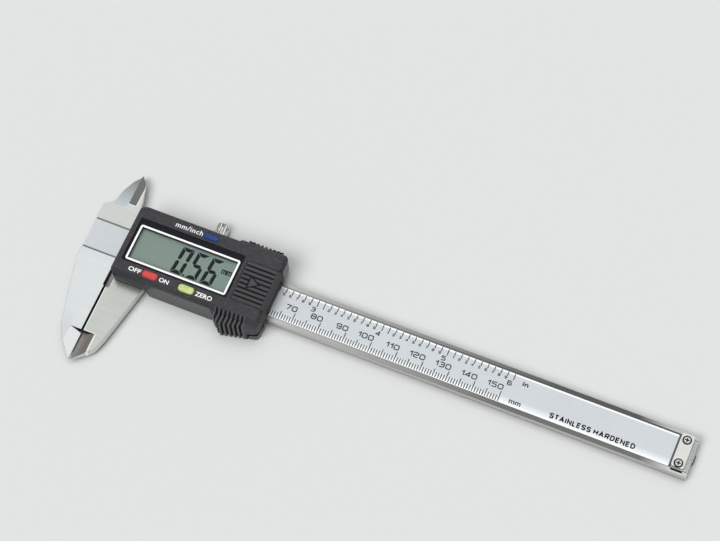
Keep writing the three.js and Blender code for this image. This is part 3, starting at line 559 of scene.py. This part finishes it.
MATERIALS = {
    "steel": steel("ground_steel", STEEL, ALONG).material,
    "beam": beam_steel(),
    "jaw": slider_steel(),
    "rod": rod_steel(),
    "knurl": knurled_steel(),
    "plate": bright_steel("plate_steel", top_of("stop_plate") - 0.22),
    "screw": bright_steel("screw_steel", top_of("stop_screw_1") - 0.12),
    "brass": brass(),
    "board": circuit_board(),
    "foil": foil(),
    "housing": housing(),
    "door": door_housing(),
    "bezel": plastic(
        "black_moulding", (0.006, 0.006, 0.008), 0.5, Specular_IOR_Level=0.08
    ).material,
    "lens": lens(),
    "lcd": lcd(),
    "rubber": plastic("contact_rubber", (0.25, 0.26, 0.27), 0.7).material,
    "epoxy": plastic("black_resin", (0.012, 0.012, 0.012), 0.35).material,
    "wiper": wiper(),
    "button_blue": button_plastic("blue_button", (0.006, 0.020, 0.092)),
    "button_red": button_plastic("red_button", (0.30, 0.030, 0.025)),
    "button_yellow": button_plastic("yellow_button", (0.262, 0.312, 0.113)),
    "black_ink": ink("black_ink", (0.008, 0.009, 0.01)),
    "grey_ink": ink("grey_ink", (0.018, 0.022, 0.025)),
    "white_ink": ink("white_ink", (0.66, 0.66, 0.66)),
}

# ------------------------------------------------------------------ pieces


def piece(name, mesh, body, *materials):
    made = bpy.data.objects.new(name, mesh)
    bpy.context.scene.collection.objects.link(made)
    mesh.materials.clear()
    for material in materials:
        mesh.materials.append(MATERIALS[material])
    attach(made, body)
    return made


def room_beside(edge):
    """How far an edge can be cut back before the cut runs past a neighbouring corner, in metres."""
    along = (edge.verts[1].co - edge.verts[0].co).normalized()
    room = 1.0
    for vert in edge.verts:
        for other in vert.link_edges:
            if other is edge:
                continue
            straight = abs(along.dot((other.other_vert(vert).co - vert.co).normalized()))
            if straight < 0.9:
                room = min(room, other.calc_length() * math.sqrt(1 - straight * straight))
    return room


WELD = 0.002  # corners of a CAD mesh this close, in millimetres, are one
ROUNDING_STEPS = 2


def refined(name, width, material, crease):
    """A CAD node's shape, with edges sharper than crease degrees rounded by width millimetres."""
    limit = math.radians(crease)
    mesh = nodes[name].data.copy()
    shape = bmesh.new()
    shape.from_mesh(mesh)
    bmesh.ops.remove_doubles(shape, verts=shape.verts, dist=WELD * MM)
    flat = math.radians(1)
    bmesh.ops.dissolve_limit(shape, angle_limit=flat, verts=shape.verts, edges=shape.edges)
    weight = shape.edges.layers.float.new("bevel_weight_edge")
    for edge in shape.edges:
        if len(edge.link_faces) == 2 and edge.is_convex and edge.calc_face_angle() > limit:
            edge[weight] = min(1.0, 0.4 * room_beside(edge) / (width * MM))
    shape.to_mesh(mesh)
    shape.free()
    mesh.shade_smooth()
    mesh.set_sharp_from_angle(angle=limit)
    made = piece(f"{name}_finished", mesh, BODY_OF[name], material)
    edges = made.modifiers.new("rounded_edges", "BEVEL")
    edges.width = width * MM
    edges.segments = ROUNDING_STEPS
    edges.limit_method = "WEIGHT"
    edges.use_clamp_overlap = False
    edges.harden_normals = True
    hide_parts(name)


def mesh_of(shape, name, crease=None):
    """Ends a bmesh as a mesh. With a crease, in degrees, it is smooth but at sharper edges."""
    bmesh.ops.recalc_face_normals(shape, faces=shape.faces)
    mesh = bpy.data.meshes.new(name)
    shape.to_mesh(mesh)
    shape.free()
    if crease is not None:
        mesh.shade_smooth()
        mesh.set_sharp_from_angle(angle=math.radians(crease))
    return mesh


def walls(shape, below, above):
    """Faces between two loops of as many vertices each."""
    for k in range(len(below)):
        n = (k + 1) % len(below)
        shape.faces.new((below[k], below[n], above[n], above[k]))


def prisms(name, outlines, z, body, material):
    """One mesh of thin upright prisms. An outline is a loop, or a pair of loops for a ring."""
    shape = bmesh.new()
    for entry in outlines:
        loops = entry if isinstance(entry, tuple) else (entry,)
        rings = [
            [[shape.verts.new(at(x, y, h)) for x, y in loop] for h in (z, z + PRINT)]
            for loop in loops
        ]
        for i, (low, high) in enumerate(rings):
            walls(shape, *((low, high) if i == 0 else (high, low)))
        if len(rings) == 1:
            shape.faces.new(rings[0][1])
            shape.faces.new(rings[0][0][::-1])
            continue
        (low_out, high_out), (low_in, high_in) = rings
        count = len(low_out)
        for k in range(count):
            n = (k + 1) % count
            shape.faces.new((high_out[k], high_out[n], high_in[n], high_in[k]))
            shape.faces.new((low_out[n], low_out[k], low_in[k], low_in[n]))
    return piece(name, mesh_of(shape, name), body, material)


def bar(x0, x1, y0, y1):
    return [(x0, y0), (x1, y0), (x1, y1), (x0, y1)]


ARC_STEPS = 3


def rounded(points, radius, closed):
    """A path with its corners turned into arcs."""
    path = []
    last = len(points) - 1
    for i, corner in enumerate(points):
        if not closed and i in (0, last):
            path.append(Vector(corner))
            continue
        here = Vector(corner)
        back = Vector(points[i - 1]) - here
        ahead = Vector(points[(i + 1) % len(points)]) - here
        reach = min(radius, back.length * 0.48, ahead.length * 0.48)
        start = here + back.normalized() * reach
        end = here + ahead.normalized() * reach
        for k in range(ARC_STEPS + 1):
            t = k / ARC_STEPS
            path.append(start.lerp(here, t).lerp(here.lerp(end, t), t))
    return path


def stroke(points, width, radius=0.0, closed=False):
    """The outline of a line width wide along a path: one loop, or two when the path is closed."""
    path = rounded(points, radius, closed) if radius else [Vector(p) for p in points]
    count = len(path)
    left, right = [], []
    for i, here in enumerate(path):
        before = path[i - 1] if i or closed else None
        after = path[(i + 1) % count] if i < count - 1 or closed else None
        into = (here - before).normalized() if before is not None else None
        out = (after - here).normalized() if after is not None else None
        both = into is not None and out is not None
        along = (into + out).normalized() if both else into or out
        normal = Vector((-along.y, along.x))
        cosine = along.dot(into if into is not None else out)
        offset = normal * (width / 2 / max(cosine, 0.4))
        left.append(tuple(here + offset))
        right.append(tuple(here - offset))
    return (left, right) if closed else left + right[::-1]


# ------------------------------------------------------------------ digits

# Strokes of digits in a cell one unit wide and one tall. True marks a closed stroke.
DIGITS = {
    "0": [([(0, 0), (1, 0), (1, 1), (0, 1)], True)],
    "1": [([(0, 0.68), (1, 1), (1, 0)], False)],
    "2": [([(0, 0.8), (0, 1), (1, 1), (1, 0.5), (0, 0.5), (0, 0), (1, 0)], False)],
    "3": [([(0, 1), (1, 1), (1, 0), (0, 0)], False), ([(0.25, 0.52), (0.95, 0.52)], False)],
    "4": [([(0.78, 0), (0.78, 1), (0, 0.28), (1, 0.28)], False)],
    "5": [([(1, 1), (0.04, 1), (0.04, 0.58), (1, 0.58), (1, 0), (0, 0)], False)],
    "6": [([(0.95, 1), (0, 1), (0, 0.5)], False), ([(0, 0), (1, 0), (1, 0.56), (0, 0.56)], True)],
    "7": [([(0, 1), (1, 1), (0.42, 0)], False)],
    "8": [([(0, 0), (1, 0), (1, 1), (0, 1)], True), ([(0.05, 0.52), (0.95, 0.52)], False)],
    "9": [([(0.05, 0), (1, 0), (1, 0.5)], False), ([(0, 0.44), (1, 0.44), (1, 1), (0, 1)], True)],
}

# Strokes of the capitals on the scale, in cells like the digits' but as wide as CELL says.
S_STROKE = [
    (1, 0.8), (0.8, 1), (0.2, 1), (0, 0.85), (0, 0.6),
    (1, 0.4), (1, 0.15), (0.8, 0), (0.2, 0), (0, 0.2),
]
LETTERS = {
    "S": [(S_STROKE, False)],
    "T": [([(0, 1), (1, 1)], False), ([(0.5, 1), (0.5, 0)], False)],
    "A": [([(0, 0), (0.5, 1), (1, 0)], False), ([(0.18, 0.3), (0.82, 0.3)], False)],
    "I": [([(0.5, 0), (0.5, 1)], False)],
    "N": [([(0, 0), (0, 1), (1, 0), (1, 1)], False)],
    "L": [([(0, 1), (0, 0), (1, 0)], False)],
    "E": [([(1, 1), (0, 1), (0, 0), (1, 0)], False), ([(0, 0.52), (0.9, 0.52)], False)],
    "H": [([(0, 0), (0, 1)], False), ([(1, 0), (1, 1)], False), ([(0, 0.52), (1, 0.52)], False)],
    "R": [([(0, 0), (0, 1), (0.85, 1), (1, 0.86), (1, 0.6), (0.85, 0.46), (0, 0.46)], False),
          ([(0.5, 0.46), (1, 0)], False)],
    "D": [([(0, 0), (0, 1), (0.65, 1), (1, 0.75), (1, 0.25), (0.65, 0)], True)],
}
CELL = {"I": 0.28, "S": 0.98, "L": 0.86, "E": 0.9, "A": 1.12, "T": 0.95}


def in_cell(path, left, base, wide, height, pen):
    """A path in unit cells carried into a cell on the scale, with room for the pen."""
    return [
        (left + pen / 2 + u * (wide - pen), base + pen / 2 + v * (height - pen)) for u, v in path
    ]


def block_word(text, x0, x1, base, height, pen, gap):
    """Outlines of a word in upright strokes, fitted between x0 and x1."""
    cells = [CELL.get(letter, 1.0) for letter in text]
    unit = (x1 - x0 - gap * (len(text) - 1)) / sum(cells)
    outlines, left = [], x0
    for letter, cell in zip(text, cells):
        wide = cell * unit
        for path, closed in LETTERS[letter]:
            points = in_cell(path, left, base, wide, height, pen)
            soft = 0.12 * height if letter in "SRD" else 0.0
            outlines.append(stroke(points, pen, soft, closed))
        left += wide + gap
    return outlines


def number(text, right, base, width, height, pen, gap):
    """Outlines of a number whose last digit ends at x = right and stands on y = base."""
    outlines = []
    for digit in reversed(text):
        cell = width * (0.58 if digit == "1" else 1.0)
        right -= cell
        for path, closed in DIGITS[digit]:
            points = in_cell(path, right, base, cell, height, pen)
            soft = 0.0 if digit in "147" else 0.24 * height
            outlines.append(stroke(points, pen, soft, closed))
        right -= gap
    return outlines


# ------------------------------------------------------------------ scale

SCALE_ZERO = -0.6
SCALE = {"low": -5.95, "high": 6.05, "mm": 150, "tenths": 60, "tick": 0.34}
MM_TICK = {1: -3.75, 5: -2.85, 10: -1.9}
INCH_TICK = {"whole": 3.5, "tenth": 4.3}
INCH = 25.4
# How far a number's last digit passes its mark, then the number's base, width, height, pen and gap.
MM_NUMBER = (0.15, -1.5, 2.1, 2.15, 0.4, 0.34)
TENTH_NUMBER = (0.1, 3.1, 0.95, 1.1, 0.26, 0.1)
INCH_NUMBER = (0.1, 1.15, 1.8, 1.9, 0.37, 0.2)
foil_top = top_of("scale_foil")


def numbered(value, x, style):
    beyond, *cell = style
    return number(str(value), x + beyond, *cell)


def scale_marks():
    outlines = []
    half = SCALE["tick"] / 2
    for i in range(SCALE["mm"] + 1):
        x = SCALE_ZERO + i
        reach = MM_TICK[10 if i % 10 == 0 else 5 if i % 5 == 0 else 1]
        outlines.append(bar(x - half, x + half, SCALE["low"], reach))
        if i and i % 10 == 0:
            outlines += numbered(i, x, MM_NUMBER)
    for i in range(SCALE["tenths"] + 1):
        x = SCALE_ZERO + i * INCH / 10
        reach = INCH_TICK["whole" if i % 10 == 0 else "tenth"]
        outlines.append(bar(x - half, x + half, reach, SCALE["high"]))
        if i % 10:
            outlines += numbered(i % 10, x, TENTH_NUMBER)
        elif i:
            outlines += numbered(i // 10, x, INCH_NUMBER)
    return outlines


prisms("scale_marks", scale_marks(), foil_top, "beam", "grey_ink")

# ------------------------------------------------------------------ words


def words(name, text, x0, x1, base, height, z, body, material, weight, tall="H", spacing=1.0):
    """Words in the built-in face, fitted between x0 and x1. height is that of the letter tall."""

    def letters(body_text):
        curve = bpy.data.curves.new(name, "FONT")
        curve.body = body_text
        curve.offset = weight
        curve.space_character = spacing
        curve.resolution_u = 4
        curve.extrude = 0.5
        shown = bpy.data.objects.new(name, curve)
        bpy.context.scene.collection.objects.link(shown)
        bpy.context.view_layer.update()
        evaluated = shown.evaluated_get(bpy.context.evaluated_depsgraph_get())
        mesh = bpy.data.meshes.new_from_object(evaluated)
        bpy.data.objects.remove(shown)
        return mesh

    gauge = letters(tall)
    rise = max(v.co.y for v in gauge.vertices)
    mesh = letters(text)
    left, right = min(v.co.x for v in mesh.vertices), max(v.co.x for v in mesh.vertices)
    for v in mesh.vertices:
        x, y, h = v.co
        across = x0 + (x - left) / (right - left) * (x1 - x0)
        v.co = at(across, base + y / rise * height, z + (h + 0.5) * PRINT)
    return piece(name, mesh, body, material)


words("unit_in", "in", 155.4, 157.6, 2.85, 1.6, foil_top, "beam", "grey_ink", 0.025, "i")
words("unit_mm", "mm", 153.2, 157.6, -5.0, 1.3, foil_top, "beam", "grey_ink", 0.025, "x")
hardened = block_word("STAINLESS", 168.4, 183.9, -4.95, 2.1, 0.5, 0.26)
hardened += block_word("HARDENED", 184.9, 200.4, -4.95, 2.1, 0.5, 0.28)
prisms("material_words", hardened, foil_top, "beam", "black_ink")

cover_top = top_of("front_cover")
# Name, text, first and last x, base, height, weight, the letter that height measures, and spacing.
COVER_WORDS = (
    ("label_unit", "mm/inch", 16.75, 27.5, 10.4, 1.85, 0.008, "h", 1.1),
    ("label_off", "OFF", 8.0, 12.9, -11.85, 1.6, 0.018, "H", 1.0),
    ("label_on", "ON", 20.3, 24.0, -11.95, 1.6, 0.018, "H", 1.0),
    ("label_zero", "ZERO", 34.8, 41.3, -12.1, 1.7, 0.018, "H", 1.0),
)
for *lay, weight, tall, spacing in COVER_WORDS:
    words(*lay, cover_top, "slider", "white_ink", weight, tall, spacing)

# ------------------------------------------------------------------ display

lens_low, lens_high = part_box("window_lens")
lens_top = top_of("window_lens")
WINDOW_LINE = (4.85, 44.75, -7.92, 6.68)
LINE_WIDE = 0.72
LINE_LAP = 0.3  # how far the black border reaches under the white line


def inset_bar(x0, x1, y0, y1, by):
    return bar(x0 + by, x1 - by, y0 + by, y1 - by)


def window_border():
    low, high = (lens_low - DATUM) / MM, (lens_high - DATUM) / MM
    return [(bar(low.x, high.x, low.y, high.y), inset_bar(*WINDOW_LINE, LINE_LAP))]


def window_line():
    return [stroke(inset_bar(*WINDOW_LINE, LINE_WIDE / 2), LINE_WIDE, 0.5, closed=True)]


prisms("window_border", window_border(), lens_top, "slider", "bezel")
prisms("window_line", window_line(), lens_top + PRINT, "slider", "white_ink")

LCD_DIGIT = {"wide": 4.6, "tall": 10.9, "pen": 1.4, "base": -5.95, "pitch": 5.9, "lean": 0.085}
LIT = {"0": "abcdef", "5": "acdfg", "6": "acdefg"}


def segments(digit, x, base):
    """The lit bars of one leaning seven-bar digit."""
    w, h, t = LCD_DIGIT["wide"], LCD_DIGIT["tall"], LCD_DIGIT["pen"]
    gap, mid, half = 0.12, h / 2, t / 2
    bars = {
        "a": [(gap, h), (w - gap, h), (w - t - gap, h - t), (t + gap, h - t)],
        "d": [(gap, 0), (w - gap, 0), (w - t - gap, t), (t + gap, t)],
        "g": [(half, mid), (t, mid + half), (w - t, mid + half),
              (w - half, mid), (w - t, mid - half), (t, mid - half)],
        "f": [(0, h - gap), (t, h - t - gap), (t, mid + half + gap),
              (half, mid + gap), (0, mid + half)],
        "b": [(w, h - gap), (w - t, h - t - gap), (w - t, mid + half + gap),
              (w - half, mid + gap), (w, mid + half)],
        "e": [(0, gap), (t, t + gap), (t, mid - half - gap),
              (half, mid - gap), (0, mid - half)],
        "c": [(w, gap), (w - t, t + gap), (w - t, mid - half - gap),
              (w - half, mid - gap), (w, mid - half)],
    }
    lean = LCD_DIGIT["lean"]
    return [[(x + u + lean * v, base + v) for u, v in bars[name]] for name in LIT[digit]]


def reading():
    """The jaws' gap in three digits, with its point, and the two small letters of its unit."""
    outlines = []
    x, base = 21.6, LCD_DIGIT["base"]
    for i, digit in enumerate(f"{OPEN:.2f}".replace(".", "")):
        outlines += segments(digit, x + i * LCD_DIGIT["pitch"], base)
    outlines.append(bar(26.6, 27.3, base, base + 0.75))
    for start in (39.5, 41.45):
        arch = [(start, 0.2), (start, 1.85), (start + 1.5, 1.85), (start + 1.5, 0.2)]
        outlines.append(stroke(arch, 0.44))
        outlines.append(bar(start + 0.55, start + 0.95, 0.2, 1.7))
    return outlines


prisms("reading", reading(), top_of("lcd_glass"), "slider", "black_ink")

# ------------------------------------------------------------------ finished CAD shapes

METAL_CREASE = 13
SOFT_CREASE = 28
EDGES = {
    "beam": (0.13, "beam", METAL_CREASE),
    "slider_frame": (0.13, "jaw", METAL_CREASE),
    "stop_plate": (0.12, "plate", METAL_CREASE),
    "lock_screw": (0.1, "knurl", SOFT_CREASE),
    "depth_rod": (0.1, "rod", METAL_CREASE),
    "back_plate": (0.1, "steel", METAL_CREASE),
    "front_cover": (0.16, "housing", SOFT_CREASE),
    "end_wiper": (0.2, "wiper", SOFT_CREASE),
}
for name, (width, material, crease) in EDGES.items():
    refined(name, width, material, crease)


# Across and up: a ridge over the edge of the cover's top and down its slope.
GRIP_PROFILE = ((-12.95, 11.86), (-13.32, 11.6), (-14.5, 9.85), (-14.45, 9.5), (-14.05, 9.5))


def grip_ridges():
    """The lower grip's ridges, carried up over the slope of the cover's lower edge."""
    first, pitch, end = (LOWER_GRIP[key] for key in ("first", "pitch", "end"))
    shape = bmesh.new()
    left = LOWER_GRIP["start"] + 0.1
    while left < end:
        nearest = first + round((left - first + pitch / 2) / pitch) * pitch
        right = min(nearest - GROOVE_HALF, end)
        ends = [[shape.verts.new(at(x, y, z)) for y, z in GRIP_PROFILE] for x in (left, right)]
        walls(shape, *ends)
        shape.faces.new(ends[0][::-1])
        shape.faces.new(ends[1])
        left = nearest + GROOVE_HALF
    made = piece("grip_ridges", mesh_of(shape, "grip_ridges"), "slider", "housing")
    soft = made.modifiers.new("rounded_edges", "BEVEL")
    soft.width = 0.08 * MM
    soft.segments = ROUNDING_STEPS
    soft.harden_normals = True


grip_ridges()


BUTTONS = {
    "button_unit": "button_blue",
    "button_power": "button_red",
    "button_zero": "button_yellow",
}
BUTTON_CORNER = 0.86  # the end's radius beside half the button's width
BUTTON_ARC = 9  # points around a quarter of the outline
# How far in from the outline and how far below the top, up the crown.
BUTTON_CROWN = ((0, 0.72), (0.26, 0.6), (0.34, 0.3), (0.46, 0.13), (0.66, 0.03), (0.96, 0))


def button(node, material):
    """A push button with a crowned top: rings of a stadium outline, drawn in towards the top."""
    low, high = ((corner - DATUM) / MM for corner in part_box(node))
    middle = (low + high) / 2
    half_x, half_y = (high.x - low.x) / 2, (high.y - low.y) / 2
    corner = half_y * BUTTON_CORNER
    profile = [(0, low.z), *((inset, high.z - down) for inset, down in BUTTON_CROWN)]
    shape = bmesh.new()
    rings = []
    for inset, z in profile:
        ring_verts = []
        for quarter in range(4):
            sx, sy = (1, 1, -1, -1)[quarter], (1, -1, -1, 1)[quarter]
            for k in range(BUTTON_ARC):
                part = k / (BUTTON_ARC - 1)
                turn = math.pi / 2 * (part if sx * sy < 0 else 1 - part)
                reach = corner - inset
                x = middle.x + sx * (half_x - corner + reach * math.cos(turn))
                y = middle.y + sy * (half_y - corner + reach * math.sin(turn))
                ring_verts.append(shape.verts.new(at(x, y, z)))
        rings.append(ring_verts)
    for below, above in zip(rings, rings[1:]):
        walls(shape, below, above)
    shape.faces.new(rings[0])
    shape.faces.new(rings[-1])
    made = piece(f"{node}_finished", mesh_of(shape, node, 60), BODY_OF[node], material)
    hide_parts(node)


for name, material in BUTTONS.items():
    button(name, material)

DOOR = {
    "x0": 47.05, "x1": 60.4, "y0": -8.35, "y1": 7.85, "under": 11.05,
    "tongue": 0.6, "tongue_top": 11.4, "tongue_short": 1.7,
    "end_low": 7.5, "end_thick": 1.1, "seam": 0.05,
    "rib_end": 58.9, "slope_run": 1.3, "slope_drop": 1.2, "rim": 0.22, "rim_drop": 0.14,
}
DOOR_GRID = (76, 163)  # points along and across the door's top
RIB = {"grooves": 8, "deep": 0.75, "wide": 0.95, "clear": 0.4, "run_out": 0.3}
ARROW = {"x0": 51.0, "x1": 54.4, "y": 0.1, "half": 2.1, "ditch": 0.45, "ditch_deep": 0.5}


def arrow_distance(x, y):
    """How far a point lies outside the arrow, and below zero inside it."""
    length, half = ARROW["x1"] - ARROW["x0"], ARROW["half"]
    lean = math.hypot(length, half)
    flank = (abs(y - ARROW["y"]) * length + (x - ARROW["x0"]) * half - length * half) / lean
    return max(flank, ARROW["x0"] - x)


def door_height(x, y):
    """The door's top: lengthwise grooves around a flat arrow, and a slope at its outer end."""
    d = DOOR
    drop = 0.0
    pitch = (d["y1"] - d["y0"]) / (RIB["grooves"] + 1)
    nearest = min(RIB["grooves"], max(1, round((y - d["y0"]) / pitch)))
    off = abs(y - d["y0"] - nearest * pitch) / (RIB["wide"] / 2)
    room = min(x - d["x0"] - RIB["clear"], d["rib_end"] - x)
    ends = min(1.0, max(0.0, room / RIB["run_out"]))
    if off < 1 and ends > 0:
        drop = RIB["deep"] * ends * (0.5 + 0.5 * math.cos(math.pi * off))
    outside = arrow_distance(x, y)
    if outside < 0:
        drop = 0.0
    elif outside < ARROW["ditch"]:
        ditch = ARROW["ditch_deep"] * math.sin(math.pi * outside / ARROW["ditch"])
        drop = max(drop, ditch)
    rim = min(x - d["x0"], y - d["y0"], d["y1"] - y)
    drop += d["rim_drop"] * max(0.0, 1 - rim / d["rim"]) ** 2
    drop += max(0.0, x - (d["x1"] - d["slope_run"])) * d["slope_drop"] / d["slope_run"]
    return cover_top - drop


def box_into(shape, x0, x1, y0, y1, z0, z1):
    corners = [shape.verts.new(at(x, y, z)) for z in (z0, z1) for x, y in bar(x0, x1, y0, y1)]
    shape.faces.new([corners[i] for i in (3, 2, 1, 0)])
    shape.faces.new([corners[i] for i in (4, 5, 6, 7)])
    walls(shape, corners[:4], corners[4:])


def battery_door():
    d = DOOR
    along, across = DOOR_GRID
    shape = bmesh.new()
    xs = [d["x0"] + (d["x1"] - d["x0"]) * i / (along - 1) for i in range(along)]
    ys = [d["y0"] + (d["y1"] - d["y0"]) * j / (across - 1) for j in range(across)]
    grid = [[shape.verts.new(at(x, y, door_height(x, y))) for y in ys] for x in xs]
    for i in range(along - 1):
        for j in range(across - 1):
            here, beyond = grid[i], grid[i + 1]
            shape.faces.new((here[j], beyond[j], beyond[j + 1], here[j + 1]))
    rim = [row[0] for row in grid] + grid[-1][1:]
    rim += [row[-1] for row in grid[-2::-1]] + grid[0][-2:0:-1]
    floor_z = at(0, 0, d["under"]).z
    below = [
        shape.verts.new((v.co.x, v.co.y, min(floor_z, v.co.z - 0.1 * MM))) for v in rim
    ]
    for k in range(len(rim)):
        n = (k + 1) % len(rim)
        shape.faces.new((rim[n], rim[k], below[k], below[n]))
    shape.faces.new(below)
    inner, low, high = d["x1"] - d["tongue_short"], d["y0"] - d["tongue"], d["y1"] + d["tongue"]
    box_into(shape, d["x0"], inner, low, high, d["under"], d["tongue_top"])
    inner, top = d["x1"] - d["end_thick"], cover_top - d["slope_drop"] - d["seam"]
    box_into(shape, inner, d["x1"], d["y0"], d["y1"], d["end_low"], top)
    mesh = mesh_of(shape, "battery_door", 50)
    made = piece("battery_door_finished", mesh, "battery_door", "door")
    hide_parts("battery_door")


battery_door()

# Nodes whose material is not the one named after their slot.
SPECIAL = {"stop_screw_1": "screw", "stop_screw_2": "screw"}
REPLACED = {*EDGES, *BUTTONS, "battery_door"}

# The CAD nodes that show as they are get their materials in their slots.
for name, node in nodes.items():
    if name not in REPLACED:
        node.data.materials.clear()
        node.data.materials.append(MATERIALS[SPECIAL.get(name, SLOT_OF[name])])

# ------------------------------------------------------------------ studio


FLOOR_HALF = 3.0  # metres
FLOOR_GAP = 0.02  # millimetres, so that the floor and the part's underside don't flicker


def floor():
    made = Finish("pale_floor", (0.455, 0.462, 0.459), 0.9, Specular_IOR_Level=0.0)
    soft = made.grain((300, 300, 300), detail=1)
    made.tint(made.spread(soft, 0.0, 1.0, 0, 0.02), (0.443, 0.453, 0.446))
    size, height = FLOOR_HALF, cad_box[0].z - FLOOR_GAP * MM
    mesh = bpy.data.meshes.new("floor")
    centre = (cad_box[0] + cad_box[1]) / 2
    corners = [
        (centre.x + sx * size, centre.y + sy * size, height)
        for sx, sy in ((-1, -1), (1, -1), (1, 1), (-1, 1))
    ]
    mesh.from_pydata(corners, [], [(0, 1, 2, 3)])
    mesh.materials.append(made.material)
    ground = bpy.data.objects.new("floor", mesh)
    bpy.context.scene.collection.objects.link(ground)


SOFTBOX = (0.0, 0.29, 0.95)
# From where to where a light fades in, and its strength before and after.
SOFTBOX_FADE = (0.72, 0.92, 0.34, 1.0)
SIDE_FADE = (-0.74, -0.44, 0.62, 1.0)


def sky():
    """A bright overhead softbox in a dimmer room that is dimmest on the -X side."""
    world = bpy.data.worlds.new("studio")
    world.use_nodes = True
    tree = world.node_tree
    toward = tree.nodes.new("ShaderNodeTexCoord").outputs["Generated"]
    split = tree.nodes.new("ShaderNodeSeparateXYZ")
    tree.links.new(toward, split.inputs["Vector"])
    aim = tree.nodes.new("ShaderNodeVectorMath")
    aim.operation = "DOT_PRODUCT"
    tree.links.new(toward, aim.inputs[0])
    aim.inputs[1].default_value = Vector(SOFTBOX).normalized()
    parts = []
    for source, fade in ((aim.outputs["Value"], SOFTBOX_FADE), (split.outputs["X"], SIDE_FADE)):
        part = tree.nodes.new("ShaderNodeMapRange")
        part.interpolation_type = "SMOOTHSTEP"
        tree.links.new(source, part.inputs["Value"])
        for socket, value in zip(("From Min", "From Max", "To Min", "To Max"), fade):
            part.inputs[socket].default_value = value
        parts.append(part.outputs["Result"])
    both = tree.nodes.new("ShaderNodeMath")
    both.operation = "MULTIPLY"
    for part, socket in zip(parts, both.inputs):
        tree.links.new(part, socket)
    tree.links.new(both.outputs["Value"], tree.nodes["Background"].inputs["Strength"])
    tree.nodes["Background"].inputs["Color"].default_value = (0.95, 0.96, 0.965, 1)
    bpy.context.scene.world = world


def sun(name, toward, strength, angle):
    """A soft sun that lights surfaces and casts the shadow, but shows in no highlight."""
    light = bpy.data.lights.new(name, "SUN")
    light.energy = strength
    light.angle = math.radians(angle)
    shown = bpy.data.objects.new(name, light)
    shown.rotation_mode = "QUATERNION"
    shown.rotation_quaternion = Vector(toward).to_track_quat("-Z", "Y")
    shown.visible_glossy = False
    bpy.context.scene.collection.objects.link(shown)


CAMERA_AT = (243.67, -277.42, 743.30)
CAMERA_AIM = (83.705, 24.037, 0.0)
CAMERA_ROLL = -5.4724  # degrees
LENS_MM = 111.636


def camera():
    """The photograph's point of view, which its scale marks fix."""
    data = bpy.data.cameras.new("camera")
    data.sensor_width = 36.0
    data.lens = LENS_MM
    data.clip_start, data.clip_end = 0.01, 20.0
    place, aim = at(*CAMERA_AT), at(*CAMERA_AIM)
    shown = bpy.data.objects.new("camera", data)
    shown.location = place
    shown.rotation_mode = "QUATERNION"
    roll = Quaternion((0, 0, 1), math.radians(CAMERA_ROLL))
    shown.rotation_quaternion = (aim - place).to_track_quat("-Z", "Y") @ roll
    bpy.context.scene.collection.objects.link(shown)
    bpy.context.scene.camera = shown


floor()
sky()
sun("key", (0.25, 0.6, -1.0), 2.8, 36)
sun("top", (0.02, -0.15, -1.0), 1.4, 36)
camera()
bpy.context.scene.view_settings.view_transform = "Standard"
